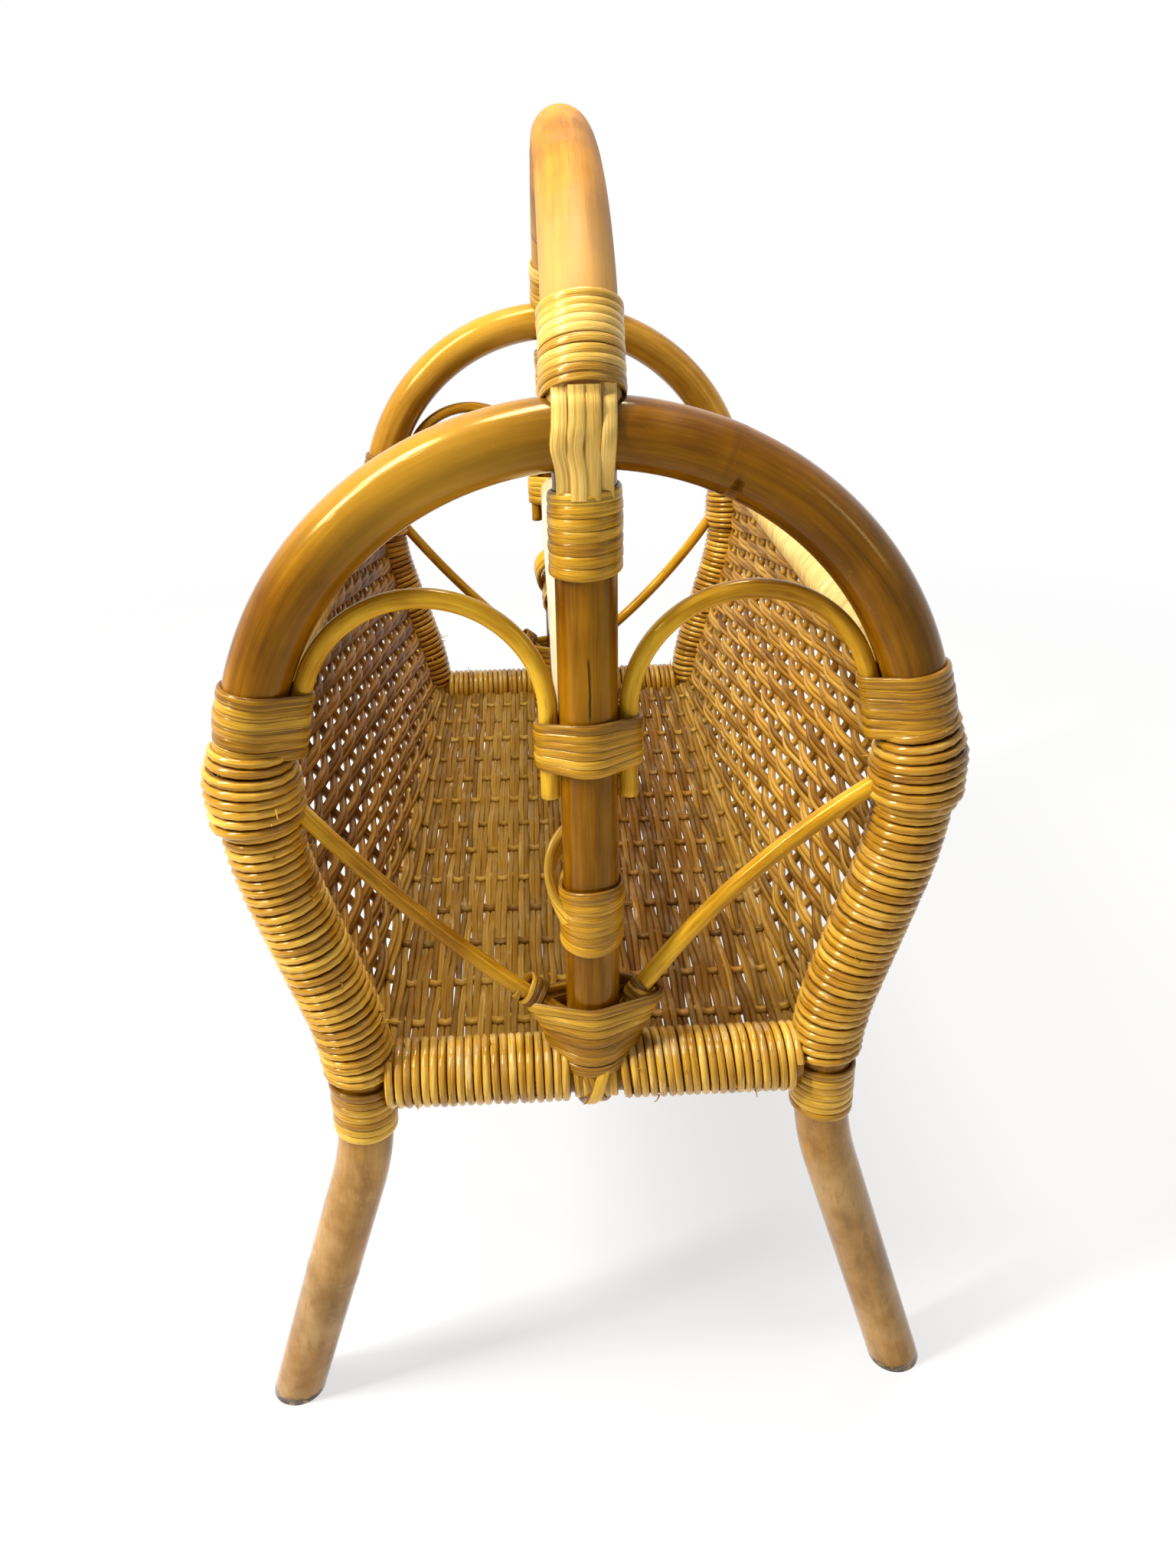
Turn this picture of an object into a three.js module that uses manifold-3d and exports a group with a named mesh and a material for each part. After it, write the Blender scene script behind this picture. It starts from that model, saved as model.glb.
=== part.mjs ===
// A magazine basket of bent cane: two arched end frames on splayed legs, a woven trough
// between them, two divider rails in the middle and a tall carrying handle.
// Millimetres. X runs across the basket, Y along it and Z up. The origin is on the floor,
// under the middle of the basket.

import * as THREE from 'three';
import { mergeVertices } from 'three/addons/utils/BufferGeometryUtils.js';
import Module from 'manifold-3d';

const wasm = await Module();
wasm.setup();

// Whole basket
const frameSpacing = 465;
const seatGap = 0.3;

// End frame: one bent pole, from the top of its arch down to a foot
const hoopDiameter = 25;
const archRadius = 131;
const archCentreHeight = 345;
const shoulderDrop = 4;
const shoulderBendRadius = 170;
const sideLeanDegrees = 16;
const sideStraight = 54;
const waistBendRadius = 150;
const waistStraight = 13;
const legBendRadius = 160;
const legSplayDegrees = 17.6;

// Straight poles
const postDiameter = 23;
const bottomRailDiameter = 24;
const dividerDiameter = 21;
const upperDividerAboveArchCentre = 15;
const lowerDividerAboveRail = 79;
const rimRailDiameter = 18;
const rimAboveArchCentre = 31;
const rimWrapThickness = 1.2;

// Carrying handle
const handleDiameter = 27;
const handleRise = 100;
const handleEndRise = 4;

// Thin rods
const rodDiameter = 7.5;
const rodLeavesArchDegrees = 23.5;
const rodTailBelowBinding = 11;
const slantStartBelowArchCentre = 14;
const slantEndAboveRail = 27;
const slantBows = { front_left: -5, front_right: 9, rear_left: -5, rear_right: -7 };

// Flat cane
const caneThickness = 1.2;
const sideBindingLength = 26;
const centreBindingLength = 26;
const lowerBindingLength = 38;
const lowerBindingThickness = 2.2;
const cornerBindingAboveRail = 2;
const cornerBindingBelowRail = 31;
const postWrapLength = 36;
const postWrapBelowArch = 3.5;
const handleWrapLength = 38;
const handleWrapAboveArch = 1.5;
const archStripWidth = 22;
const archStripClearance = 0.8;
const railStripLength = 22;
const footBindingHeight = 23;
const collarLength = 17;
const collarThickness = 2.2;

// Round reed windings
const reedDiameter = 3.9;
const sideLoops = 24;
const raisedLoops = 5;
const raisedLift = 2.5;
const railLoops = 16;
const loopSteps = 8;
const reedSides = 3;
const tailBendShare = 0.6;

// Woven trough
const weaveThickness = 8;
const weaveRelief = 3.5;
const weaveRidges = 41;
const stakeRows = 13;
const troughCornerRadius = 20;

// Facets
const poleSides = 12;
const rodSides = 8;
const bindingSides = 16;
const archSteps = 12;
const bendSteps = 3;
const handleSteps = 24;
const rodArchSteps = 9;
const slantSteps = 6;
const cornerSteps = 5;

const degrees = Math.PI / 180;
const fullTurn = Math.PI * 2;

// Places that follow from the sizes above
const hoopRadius = hoopDiameter / 2;
const postRadius = postDiameter / 2;
const bottomRailRadius = bottomRailDiameter / 2;
const dividerRadius = dividerDiameter / 2;
const rimRailRadius = rimRailDiameter / 2;
const handleRadius = handleDiameter / 2;
const rodRadius = rodDiameter / 2;
const reedRadius = reedDiameter / 2;
const archTop = archCentreHeight + archRadius;
const bindingReach = hoopRadius + seatGap + caneThickness;
const rodOffsetOnArch = hoopRadius + seatGap + rodRadius;
const rodOffsetOnPost = postRadius + seatGap + rodRadius;
const rimHeight = archCentreHeight + rimAboveArchCentre;
const upperDividerHeight = archCentreHeight + upperDividerAboveArchCentre;
const slantStartHeight = archCentreHeight - slantStartBelowArchCentre;

// The bottom rail sits where the side comes upright again, above the straight waist.
const railHeight = archCentreHeight - shoulderDrop
  - (shoulderBendRadius + waistBendRadius) * Math.sin(sideLeanDegrees * degrees)
  - sideStraight * Math.cos(sideLeanDegrees * degrees);
const lowerDividerHeight = railHeight + lowerDividerAboveRail;
const slantEndHeight = railHeight + slantEndAboveRail;

const poleFinish = { color: 0xb8771f, roughness: 0.25, metalness: 0 };
const caneFinish = { color: 0xcb9c3e, roughness: 0.4, metalness: 0 };
const reedFinish = { color: 0xba8733, roughness: 0.45, metalness: 0 };
const weaveFinish = { color: 0xa9763a, roughness: 0.6, metalness: 0 };
const rimFinish = { color: 0xdab572, roughness: 0.7, metalness: 0 };

// Flat paths. A point has its place (x, z) and the angle of the direction that faces out of
// the bend there. The path travels a quarter turn clockwise from that direction.

function last(list) {
  return list[list.length - 1];
}

function goAhead(path, length) {
  const from = last(path);
  const x = from.x + length * Math.sin(from.angle);
  const z = from.z - length * Math.cos(from.angle);
  path.push({ x, z, angle: from.angle });
}

function bendTo(path, endAngle, radius, steps) {
  const from = last(path);
  const reach = Math.sign(from.angle - endAngle) * radius;
  for (let step = 1; step <= steps; step++) {
    const angle = THREE.MathUtils.lerp(from.angle, endAngle, step / steps);
    const x = from.x + reach * (Math.cos(angle) - Math.cos(from.angle));
    const z = from.z + reach * (Math.sin(angle) - Math.sin(from.angle));
    path.push({ x, z, angle });
  }
}

function between(a, b, share) {
  return {
    x: THREE.MathUtils.lerp(a.x, b.x, share),
    z: THREE.MathUtils.lerp(a.z, b.z, share),
    angle: THREE.MathUtils.lerp(a.angle, b.angle, share),
  };
}

function distance(a, b) {
  return Math.hypot(b.x - a.x, b.z - a.z);
}

function pointAtLength(path, length) {
  let left = length;
  for (let i = 0; i + 1 < path.length; i++) {
    const chord = distance(path[i], path[i + 1]);
    if (left <= chord || i + 2 === path.length) {
      return between(path[i], path[i + 1], left / chord);
    }
    left -= chord;
  }
  return last(path);
}

// How far along a falling path the given height lies.
function lengthAtHeight(path, height) {
  let gone = 0;
  for (let i = 0; i + 1 < path.length; i++) {
    const chord = distance(path[i], path[i + 1]);
    if (path[i + 1].z <= height) {
      return gone + chord * (path[i].z - height) / (path[i].z - path[i + 1].z);
    }
    gone += chord;
  }
  return gone;
}

// The stretch of a path between two lengths, with the path's own points inside it.
function stretch(path, from, to) {
  const points = [pointAtLength(path, from)];
  let gone = 0;
  for (let i = 0; i + 1 < path.length; i++) {
    gone += distance(path[i], path[i + 1]);
    if (gone > from && gone < to) {
      points.push(path[i + 1]);
    }
  }
  points.push(pointAtLength(path, to));
  return points;
}

function stretchByHeight(path, top, bottom) {
  return stretch(path, lengthAtHeight(path, top), lengthAtHeight(path, bottom));
}

function shiftOut(points, offset) {
  return points.map(({ x, z, angle }) => ({
    x: x + offset * Math.cos(angle),
    z: z + offset * Math.sin(angle),
    angle,
  }));
}

// Stations in space. A station has its centre, two directions across the piece (out and
// side) and the direction of travel (along).

function frameStation(point, hand) {
  return {
    centre: new THREE.Vector3(hand * point.x, 0, point.z),
    out: new THREE.Vector3(hand * Math.cos(point.angle), 0, Math.sin(point.angle)),
    side: new THREE.Vector3(0, 1, 0),
    along: new THREE.Vector3(hand * Math.sin(point.angle), 0, -Math.cos(point.angle)),
  };
}

function handleStation(point) {
  return {
    centre: new THREE.Vector3(0, point.x, point.z),
    out: new THREE.Vector3(0, Math.cos(point.angle), Math.sin(point.angle)),
    side: new THREE.Vector3(1, 0, 0),
    along: new THREE.Vector3(0, Math.sin(point.angle), -Math.cos(point.angle)),
  };
}

function uprightStation(height) {
  return {
    centre: new THREE.Vector3(0, 0, height),
    out: new THREE.Vector3(1, 0, 0),
    side: new THREE.Vector3(0, 1, 0),
    along: new THREE.Vector3(0, 0, 1),
  };
}

// On a rail that runs across an end frame; out faces down.
function crossStation(x, hand) {
  return {
    centre: new THREE.Vector3(hand * x, 0, railHeight),
    out: new THREE.Vector3(0, 0, -1),
    side: new THREE.Vector3(0, 1, 0),
    along: new THREE.Vector3(hand, 0, 0),
  };
}

function lengthwiseStation(x, y, z) {
  return {
    centre: new THREE.Vector3(x, y, z),
    out: new THREE.Vector3(1, 0, 0),
    side: new THREE.Vector3(0, 0, 1),
    along: new THREE.Vector3(0, 1, 0),
  };
}

function placeAt(station, u, v) {
  return station.centre.clone().addScaledVector(station.out, u).addScaledVector(station.side, v);
}

function ring(station, outline) {
  return outline.map(([u, v]) => placeAt(station, u, v));
}

function slideTo(points, direction, axis, value) {
  return points.map((point) => {
    const travel = (value - point[axis]) / direction[axis];
    return point.clone().addScaledVector(direction, travel);
  });
}

// Outlines

function circle(radius, sides) {
  const outline = [];
  for (let i = 0; i < sides; i++) {
    const angle = fullTurn * i / sides;
    outline.push([radius * Math.cos(angle), radius * Math.sin(angle)]);
  }
  return outline;
}

// The tight band round one or more circles, at an even distance from them.
function band(circles, offset, sides) {
  const turn = fullTurn / sides;
  const support = (index) => Math.max(...circles.map(({ u, v, radius }) => (
    u * Math.cos(index * turn) + v * Math.sin(index * turn) + radius + offset)));
  const outline = [];
  for (let i = 0; i < sides; i++) {
    const here = support(i);
    const next = support(i + 1);
    const u = (here * Math.sin((i + 1) * turn) - next * Math.sin(i * turn)) / Math.sin(turn);
    const v = (next * Math.cos(i * turn) - here * Math.cos((i + 1) * turn)) / Math.sin(turn);
    outline.push([u, v]);
  }
  return outline;
}

// Solid bodies

function addQuad(triangles, a, b, c, d) {
  triangles.push([a, b, c], [a, c, d]);
}

function volumeOf(points, triangles) {
  const cross = new THREE.Vector3();
  let volume = 0;
  for (const [a, b, c] of triangles) {
    volume += cross.crossVectors(points[b], points[c]).dot(points[a]);
  }
  return volume;
}

function closedBody(points, triangles) {
  const facesIn = volumeOf(points, triangles) < 0;
  const index = triangles.flatMap(([a, b, c]) => (facesIn ? [a, c, b] : [a, b, c]));
  const places = points.flatMap((point) => point.toArray());
  const geometry = new THREE.BufferGeometry();
  geometry.setAttribute('position', new THREE.Float32BufferAttribute(places, 3));
  geometry.setIndex(index);
  geometry.computeVertexNormals();
  return geometry;
}

function tubeBody(rings) {
  const sides = rings[0].length;
  const lastRow = (rings.length - 1) * sides;
  const triangles = [];
  for (let row = 0; row < lastRow; row += sides) {
    for (let side = 0; side < sides; side++) {
      const next = (side + 1) % sides;
      addQuad(triangles, row + side, row + next, row + sides + next, row + sides + side);
    }
  }
  for (let side = 1; side + 1 < sides; side++) {
    triangles.push([0, side + 1, side]);
    triangles.push([lastRow, lastRow + side, lastRow + side + 1]);
  }
  return closedBody(rings.flat(), triangles);
}

// A wall between two skins of points, closed round on itself or with two free edges.
function wallBody(innerRows, outerRows, closed) {
  const columns = innerRows[0].length;
  const lastRow = innerRows.length - 1;
  const spans = closed ? columns : columns - 1;
  const inner = (row, column) => row * columns + column % columns;
  const outer = (row, column) => innerRows.length * columns + inner(row, column);
  const triangles = [];
  for (let column = 0; column < spans; column++) {
    const next = column + 1;
    for (let row = 0; row < lastRow; row++) {
      const below = row + 1;
      addQuad(triangles, outer(row, column), outer(row, next), outer(below, next), outer(below, column));
      addQuad(triangles, inner(row, column), inner(below, column), inner(below, next), inner(row, next));
    }
    addQuad(triangles, outer(0, next), outer(0, column), inner(0, column), inner(0, next));
    addQuad(triangles, outer(lastRow, column), outer(lastRow, next),
      inner(lastRow, next), inner(lastRow, column));
  }
  for (let row = 0; row < lastRow && !closed; row++) {
    const below = row + 1;
    addQuad(triangles, outer(row, 0), outer(below, 0), inner(below, 0), inner(row, 0));
    addQuad(triangles, outer(below, spans), outer(row, spans), inner(row, spans), inner(below, spans));
  }
  return closedBody([...innerRows.flat(), ...outerRows.flat()], triangles);
}

function poleBody(stations, radius, sides) {
  return tubeBody(stations.map((station) => ring(station, circle(radius, sides))));
}

// Flat cane wound round the circles that circlesAt gives at each station.
function sleeveBody(stations, circlesAt, thickness, sides) {
  const skin = (offset) => stations.map((station) => (
    ring(station, band(circlesAt(station), offset, sides))));
  return wallBody(skin(seatGap), skin(seatGap + thickness), true);
}

function sleeveOnPole(stations, radius, thickness) {
  return sleeveBody(stations, () => [{ u: 0, v: 0, radius }], thickness, poleSides);
}

// Cuts between neighbours

function toSolid(geometry) {
  const plain = geometry.clone();
  plain.deleteAttribute('normal');
  plain.deleteAttribute('uv');
  const merged = mergeVertices(plain);
  const vertProperties = merged.attributes.position.array;
  const triVerts = new Uint32Array(merged.index.array);
  return new wasm.Manifold(new wasm.Mesh({ numProp: 3, vertProperties, triVerts }));
}

function cutAway(geometry, cutters) {
  const left = cutters.reduce((body, cutter) => body.subtract(toSolid(cutter)), toSolid(geometry));
  const { vertProperties, triVerts } = left.getMesh();
  const cut = new THREE.BufferGeometry();
  cut.setAttribute('position', new THREE.BufferAttribute(vertProperties, 3));
  cut.setIndex(new THREE.BufferAttribute(triVerts, 1));
  cut.computeVertexNormals();
  return cut;
}

// Windings: one unbroken reed. Each mark on its route has a length along the pole, an
// angle round it, a radius and the travel angle (0 along the pole, a quarter turn round it).

function windingSizes(poleRadius) {
  const flat = reedRadius * Math.cos(Math.PI / reedSides);
  return {
    tail: poleRadius + seatGap + flat,
    loop: (poleRadius + seatGap) / Math.cos(Math.PI / loopSteps) + flat,
    bend: reedDiameter * tailBendShare,
  };
}

function windingReach(poleRadius) {
  return windingSizes(poleRadius).loop + reedRadius;
}

function tailMarks(sizes, startAngle) {
  const half = Math.PI / 4;
  const middle = (sizes.tail + sizes.loop) / 2;
  const turned = startAngle + sizes.bend * (1 - Math.cos(half)) / sizes.loop;
  const bendLength = reedDiameter + sizes.bend * Math.sin(half);
  return [
    { length: 0, angle: startAngle, radius: sizes.tail, travel: 0 },
    { length: reedDiameter, angle: startAngle, radius: sizes.tail, travel: 0 },
    { length: bendLength, angle: turned, radius: middle, travel: half },
  ];
}

function windingMarks({ poleRadius, from, to, loops, startAngle, lift, liftedLoops }) {
  const sizes = windingSizes(poleRadius);
  const tailLength = reedDiameter + sizes.bend;
  const bendAngle = sizes.bend / sizes.loop;
  const pitch = (to - from - tailLength * 2) / loops;
  const endAngle = startAngle + bendAngle * 2 + loops * fullTurn;
  const head = tailMarks(sizes, startAngle).map((mark) => ({ ...mark, length: from + mark.length }));
  const tail = tailMarks(sizes, 0).reverse().map((mark) => ({
    ...mark,
    length: to - mark.length,
    angle: endAngle - mark.angle,
  }));
  const turns = [];
  for (let step = 0; step <= loops * loopSteps; step++) {
    const share = step / loopSteps;
    const raise = THREE.MathUtils.clamp(Math.min(share, liftedLoops - share) * 2, 0, 1);
    turns.push({
      length: from + tailLength + pitch * share,
      angle: startAngle + bendAngle + fullTurn * share,
      radius: sizes.loop + lift * raise,
      travel: Math.PI / 2,
    });
  }
  return [...head, ...turns, ...tail];
}

function reedRing(station, mark) {
  const radial = station.out.clone().multiplyScalar(Math.cos(mark.angle));
  radial.addScaledVector(station.side, Math.sin(mark.angle));
  const round = station.side.clone().multiplyScalar(Math.cos(mark.angle));
  round.addScaledVector(station.out, -Math.sin(mark.angle));
  const across = round.multiplyScalar(Math.cos(mark.travel));
  across.addScaledVector(station.along, -Math.sin(mark.travel));
  const centre = station.centre.clone().addScaledVector(radial, mark.radius);
  return ring({ centre, out: radial, side: across }, circle(reedRadius, reedSides));
}

// The least distance between points of the reed that lie more than half a loop apart.
function leastGap(rings) {
  const apart = Math.ceil(loopSteps / 2) + 2;
  let least = Infinity;
  for (let i = 0; i < rings.length; i++) {
    for (let j = i + apart; j < rings.length; j++) {
      for (const a of rings[i]) {
        least = Math.min(least, ...rings[j].map((b) => a.distanceTo(b)));
      }
    }
  }
  return least;
}

function windingBody(name, stationAt, settings) {
  const rings = windingMarks(settings).map((mark) => reedRing(stationAt(mark.length), mark));
  console.log(`${name}: least gap to itself ${leastGap(rings).toFixed(2)} mm`);
  return tubeBody(rings);
}

// The end frame's outline, right half, from the top of the arch to the floor

function hoopHalfPath() {
  const path = [{ x: 0, z: archTop, angle: Math.PI / 2 }];
  bendTo(path, 0, archRadius, archSteps);
  goAhead(path, shoulderDrop);
  bendTo(path, -sideLeanDegrees * degrees, shoulderBendRadius, bendSteps);
  goAhead(path, sideStraight);
  bendTo(path, 0, waistBendRadius, bendSteps);
  goAhead(path, waistStraight);
  bendTo(path, legSplayDegrees * degrees, legBendRadius, bendSteps);
  goAhead(path, last(path).z / Math.cos(last(path).angle));
  return path;
}

const hoopPath = hoopHalfPath();

const sideBindingTop = rimHeight + sideBindingLength / 2;
const sideBindingBottom = rimHeight - sideBindingLength / 2;
const cornerTop = railHeight + cornerBindingAboveRail;
const cornerBottom = railHeight - cornerBindingBelowRail;
const centreBindingTop = upperDividerHeight + centreBindingLength / 2;
const centreBindingBottom = upperDividerHeight - centreBindingLength / 2;
const postWrapTop = archTop - hoopRadius - postWrapBelowArch;
const handleWrapHeight = archTop + hoopRadius + handleWrapAboveArch;
const railStripReach = bottomRailRadius + seatGap + caneThickness;
const raisedReach = windingReach(hoopRadius) + raisedLift;

function hoopXAt(height) {
  return pointAtLength(hoopPath, lengthAtHeight(hoopPath, height)).x;
}

function hoopStations(points, hand) {
  return points.map((point) => frameStation(point, hand));
}

function wholeHoopStations() {
  const left = hoopStations(hoopPath, -1).reverse();
  return [...left, ...hoopStations(hoopPath, 1).slice(1)];
}

function hoopBody() {
  const stations = wholeHoopStations();
  const rings = stations.map((station) => ring(station, circle(hoopRadius, poleSides)));
  rings[0] = slideTo(rings[0], stations[0].along, 'z', 0);
  rings[rings.length - 1] = slideTo(last(rings), last(stations).along, 'z', 0);
  return tubeBody(rings);
}

function archCutter() {
  const arch = stretchByHeight(hoopPath, archTop, archCentreHeight);
  const left = hoopStations(arch, -1).reverse();
  const stations = [...left, ...hoopStations(arch, 1).slice(1)];
  return poleBody(stations, hoopRadius + seatGap, poleSides);
}

function railStripCutter() {
  const stations = [crossStation(-railStripLength, 1), crossStation(railStripLength, 1)];
  const outline = band([{ u: 0, v: 0, radius: railStripReach }], seatGap, poleSides);
  return tubeBody(stations.map((station) => ring(station, outline)));
}

function postBody() {
  const stations = [uprightStation(railHeight), uprightStation(archTop)];
  return cutAway(poleBody(stations, postRadius, poleSides), [archCutter(), railStripCutter()]);
}

// Room for the corner binding and, above it, for the reed round the frame side.
function railEndCutters(hand) {
  const room = (top, bottom, radius) => {
    const stations = hoopStations(stretchByHeight(hoopPath, top, bottom), hand);
    const outline = band([{ u: 0, v: 0, radius }], seatGap, poleSides);
    return tubeBody(stations.map((station) => ring(station, outline)));
  };
  const reedTop = railHeight + bottomRailDiameter;
  return [
    room(cornerTop, cornerBottom, bindingReach),
    room(reedTop, cornerTop - seatGap, windingReach(hoopRadius)),
  ];
}

function bottomRailBody() {
  const reach = hoopXAt(railHeight);
  const stations = [crossStation(-reach, 1), crossStation(reach, 1)];
  const rail = poleBody(stations, bottomRailRadius, poleSides);
  return cutAway(rail, [...railEndCutters(-1), ...railEndCutters(1)]);
}

// Thin rods

function smallArchPath() {
  const leaves = rodLeavesArchDegrees * degrees;
  const hug = archRadius - rodOffsetOnArch;
  const bendRadius = (hug * Math.cos(leaves) - rodOffsetOnPost) / (1 + Math.cos(leaves));
  const springing = archCentreHeight + (hug - bendRadius) * Math.sin(leaves);
  const tailEnd = centreBindingBottom - rodTailBelowBinding;
  const path = [{ x: rodOffsetOnPost, z: tailEnd, angle: Math.PI }];
  goAhead(path, springing - tailEnd);
  bendTo(path, leaves, bendRadius, rodArchSteps);
  path.pop();
  const leavesHeight = archCentreHeight + archRadius * Math.sin(leaves);
  const along = stretchByHeight(hoopPath, leavesHeight, sideBindingBottom);
  return [...path, ...shiftOut(along, -rodOffsetOnArch)];
}

function smallArchBody(hand) {
  return poleBody(hoopStations(smallArchPath(), hand), rodRadius, rodSides);
}

function slantEnds() {
  const startX = hoopXAt(slantStartHeight - rodDiameter) - raisedReach - seatGap;
  return {
    start: new THREE.Vector2(startX, slantStartHeight),
    end: new THREE.Vector2(postRadius + seatGap, slantEndHeight),
  };
}

function slantPath(bow) {
  const { start, end } = slantEnds();
  const chord = end.clone().sub(start);
  const rise = new THREE.Vector2(chord.y, -chord.x).normalize();
  const path = [];
  for (let step = 0; step <= slantSteps; step++) {
    const share = step / slantSteps;
    const place = start.clone().addScaledVector(chord, share);
    place.addScaledVector(rise, bow * share * (1 - share) * 4);
    const travel = chord.clone().addScaledVector(rise, bow * (1 - share * 2) * 4);
    path.push({ x: place.x, z: place.y, angle: Math.atan2(travel.x, -travel.y) });
  }
  return path;
}

function slantRodBody(hand, bow) {
  const stations = hoopStations(slantPath(bow), hand);
  const { start, end } = slantEnds();
  const rings = stations.map((station) => ring(station, circle(rodRadius, rodSides)));
  rings[0] = slideTo(rings[0], stations[0].along, 'x', hand * start.x);
  rings[rings.length - 1] = slideTo(last(rings), last(stations).along, 'x', hand * end.x);
  return tubeBody(rings);
}

// Flat cane bindings of an end frame

function sideBindingBody(hand) {
  const stations = hoopStations(stretchByHeight(hoopPath, sideBindingTop, sideBindingBottom), hand);
  const circles = [
    { u: 0, v: 0, radius: hoopRadius },
    { u: -rodOffsetOnArch, v: 0, radius: rodRadius },
  ];
  return sleeveBody(stations, () => circles, caneThickness, bindingSides);
}

function cornerBindingBody(hand) {
  const stations = hoopStations(stretchByHeight(hoopPath, cornerTop, cornerBottom), hand);
  return sleeveOnPole(stations, hoopRadius, caneThickness);
}

function centreBindingBody() {
  const stations = [uprightStation(centreBindingBottom), uprightStation(centreBindingTop)];
  const circles = [
    { u: 0, v: 0, radius: postRadius },
    { u: rodOffsetOnPost, v: 0, radius: rodRadius },
    { u: -rodOffsetOnPost, v: 0, radius: rodRadius },
  ];
  return sleeveBody(stations, () => circles, caneThickness, bindingSides);
}

function lowerBindingBody() {
  const bottom = lowerDividerHeight - lowerBindingLength / 2;
  const stations = [uprightStation(bottom), uprightStation(bottom + lowerBindingLength)];
  return sleeveOnPole(stations, postRadius, lowerBindingThickness);
}

function postWrapBody() {
  const stations = [uprightStation(postWrapTop - postWrapLength), uprightStation(postWrapTop)];
  return sleeveOnPole(stations, postRadius, caneThickness);
}

// Where a slanting rod crosses the given height, as a circle round its level section.
function slantSection(hand, bow, height) {
  const path = slantPath(bow);
  const point = pointAtLength(path, lengthAtHeight(path, height));
  return { u: hand * point.x, v: 0, radius: rodRadius / Math.cos(point.angle) };
}

// The V-shaped binding at the foot of the post gathers the two slanting rods.
function footBindingBody(minusBow, plusBow) {
  const bottom = railHeight + windingReach(bottomRailRadius) + seatGap;
  const top = bottom + footBindingHeight;
  const stations = [bottom, slantEndHeight, top].map(uprightStation);
  const circlesAt = (station) => [
    { u: 0, v: 0, radius: postRadius },
    slantSection(-1, minusBow, station.centre.z),
    slantSection(1, plusBow, station.centre.z),
  ];
  return sleeveBody(stations, circlesAt, caneThickness, bindingSides);
}

function railStripBody() {
  const stations = [crossStation(-railStripLength / 2, 1), crossStation(railStripLength / 2, 1)];
  return sleeveOnPole(stations, bottomRailRadius, caneThickness);
}

// Carrying handle: half an ellipse between the two arch tops, as a path in (y, z)

function handlePath() {
  const halfSpan = frameSpacing / 2;
  const startAngle = Math.asin(handleEndRise / handleRise);
  const path = [];
  for (let step = 0; step <= handleSteps; step++) {
    const angle = THREE.MathUtils.lerp(startAngle, Math.PI - startAngle, step / handleSteps);
    const x = halfSpan * Math.cos(angle);
    const z = archTop + handleRise * Math.sin(angle);
    path.push({ x, z, angle: Math.atan2(Math.sin(angle) / handleRise, Math.cos(angle) / halfSpan) });
  }
  return path;
}

function handleBody() {
  const handle = poleBody(handlePath().map(handleStation), handleRadius, poleSides);
  const cutters = [-1, 1].map((end) => archCutter().translate(0, end * frameSpacing / 2, 0));
  return cutAway(handle, cutters);
}

// The half of the handle nearest one frame, falling to it, as a path in that frame's own
// coordinates, where x is the distance outwards from the frame.
function handleEndPath() {
  const half = handlePath().slice(0, handleSteps / 2 + 1).reverse();
  return half.map(({ x, z, angle }) => ({ x: x - frameSpacing / 2, z, angle }));
}

function handleWrapStations() {
  const path = handleEndPath();
  const end = lengthAtHeight(path, handleWrapHeight);
  const points = stretch(path, end - handleWrapLength, end);
  return points.map(({ x, z, angle }) => handleStation({ x: -x, z, angle: Math.PI - angle }));
}

function handleWrapBody() {
  return sleeveOnPole(handleWrapStations(), handleRadius, caneThickness);
}

// Flat strips down over the arch, on its outer or inner face. Their back follows whichever
// of the handle, the arch and the post stands furthest out.
const stripColumnShares = [-0.5, -0.4, -0.25, 0, 0.25, 0.4, 0.5];
const stripRowShares = [0, 0.17, 0.34, 0.5, 0.66, 0.83, 1];
const outerStripTiltShare = 0.5;
const innerStripTiltShare = -1.3;

function roundReach(radius, off) {
  return Math.sqrt(Math.max(0, radius * radius - off * off));
}

function stripBack(x, z, face) {
  const archLine = archCentreHeight + roundReach(archRadius, x);
  const reaches = [roundReach(hoopRadius, z - archLine)];
  if (z > archTop + handleEndRise / 2) {
    const path = handleEndPath();
    const drift = pointAtLength(path, lengthAtHeight(path, z)).x;
    reaches.push(roundReach(handleRadius, x) + face * drift);
  }
  if (z < archTop) {
    reaches.push(roundReach(postRadius, x));
  }
  return Math.max(...reaches);
}

function archStripBody(face) {
  const tiltShare = face > 0 ? outerStripTiltShare : innerStripTiltShare;
  const tilt = handleRadius * last(handleWrapStations()).out.z;
  const top = handleWrapHeight + tilt * tiltShare - seatGap;
  const bottom = postWrapTop + seatGap;
  const skin = (offset) => stripRowShares.map((rowShare) => stripColumnShares.map((columnShare) => {
    const x = archStripWidth * columnShare;
    const z = THREE.MathUtils.lerp(top, bottom, rowShare);
    return new THREE.Vector3(x, -face * (stripBack(x, z, face) + archStripClearance + offset), z);
  }));
  return wallBody(skin(0), skin(caneThickness), false);
}

// Windings of an end frame

function sideWindingBody(name, hand) {
  const stationAt = (length) => frameStation(pointAtLength(hoopPath, length), hand);
  return windingBody(name, stationAt, {
    poleRadius: hoopRadius,
    from: lengthAtHeight(hoopPath, sideBindingBottom) + seatGap,
    to: lengthAtHeight(hoopPath, cornerTop) - seatGap,
    loops: sideLoops,
    startAngle: Math.PI,
    lift: raisedLift,
    liftedLoops: raisedLoops,
  });
}

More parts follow.
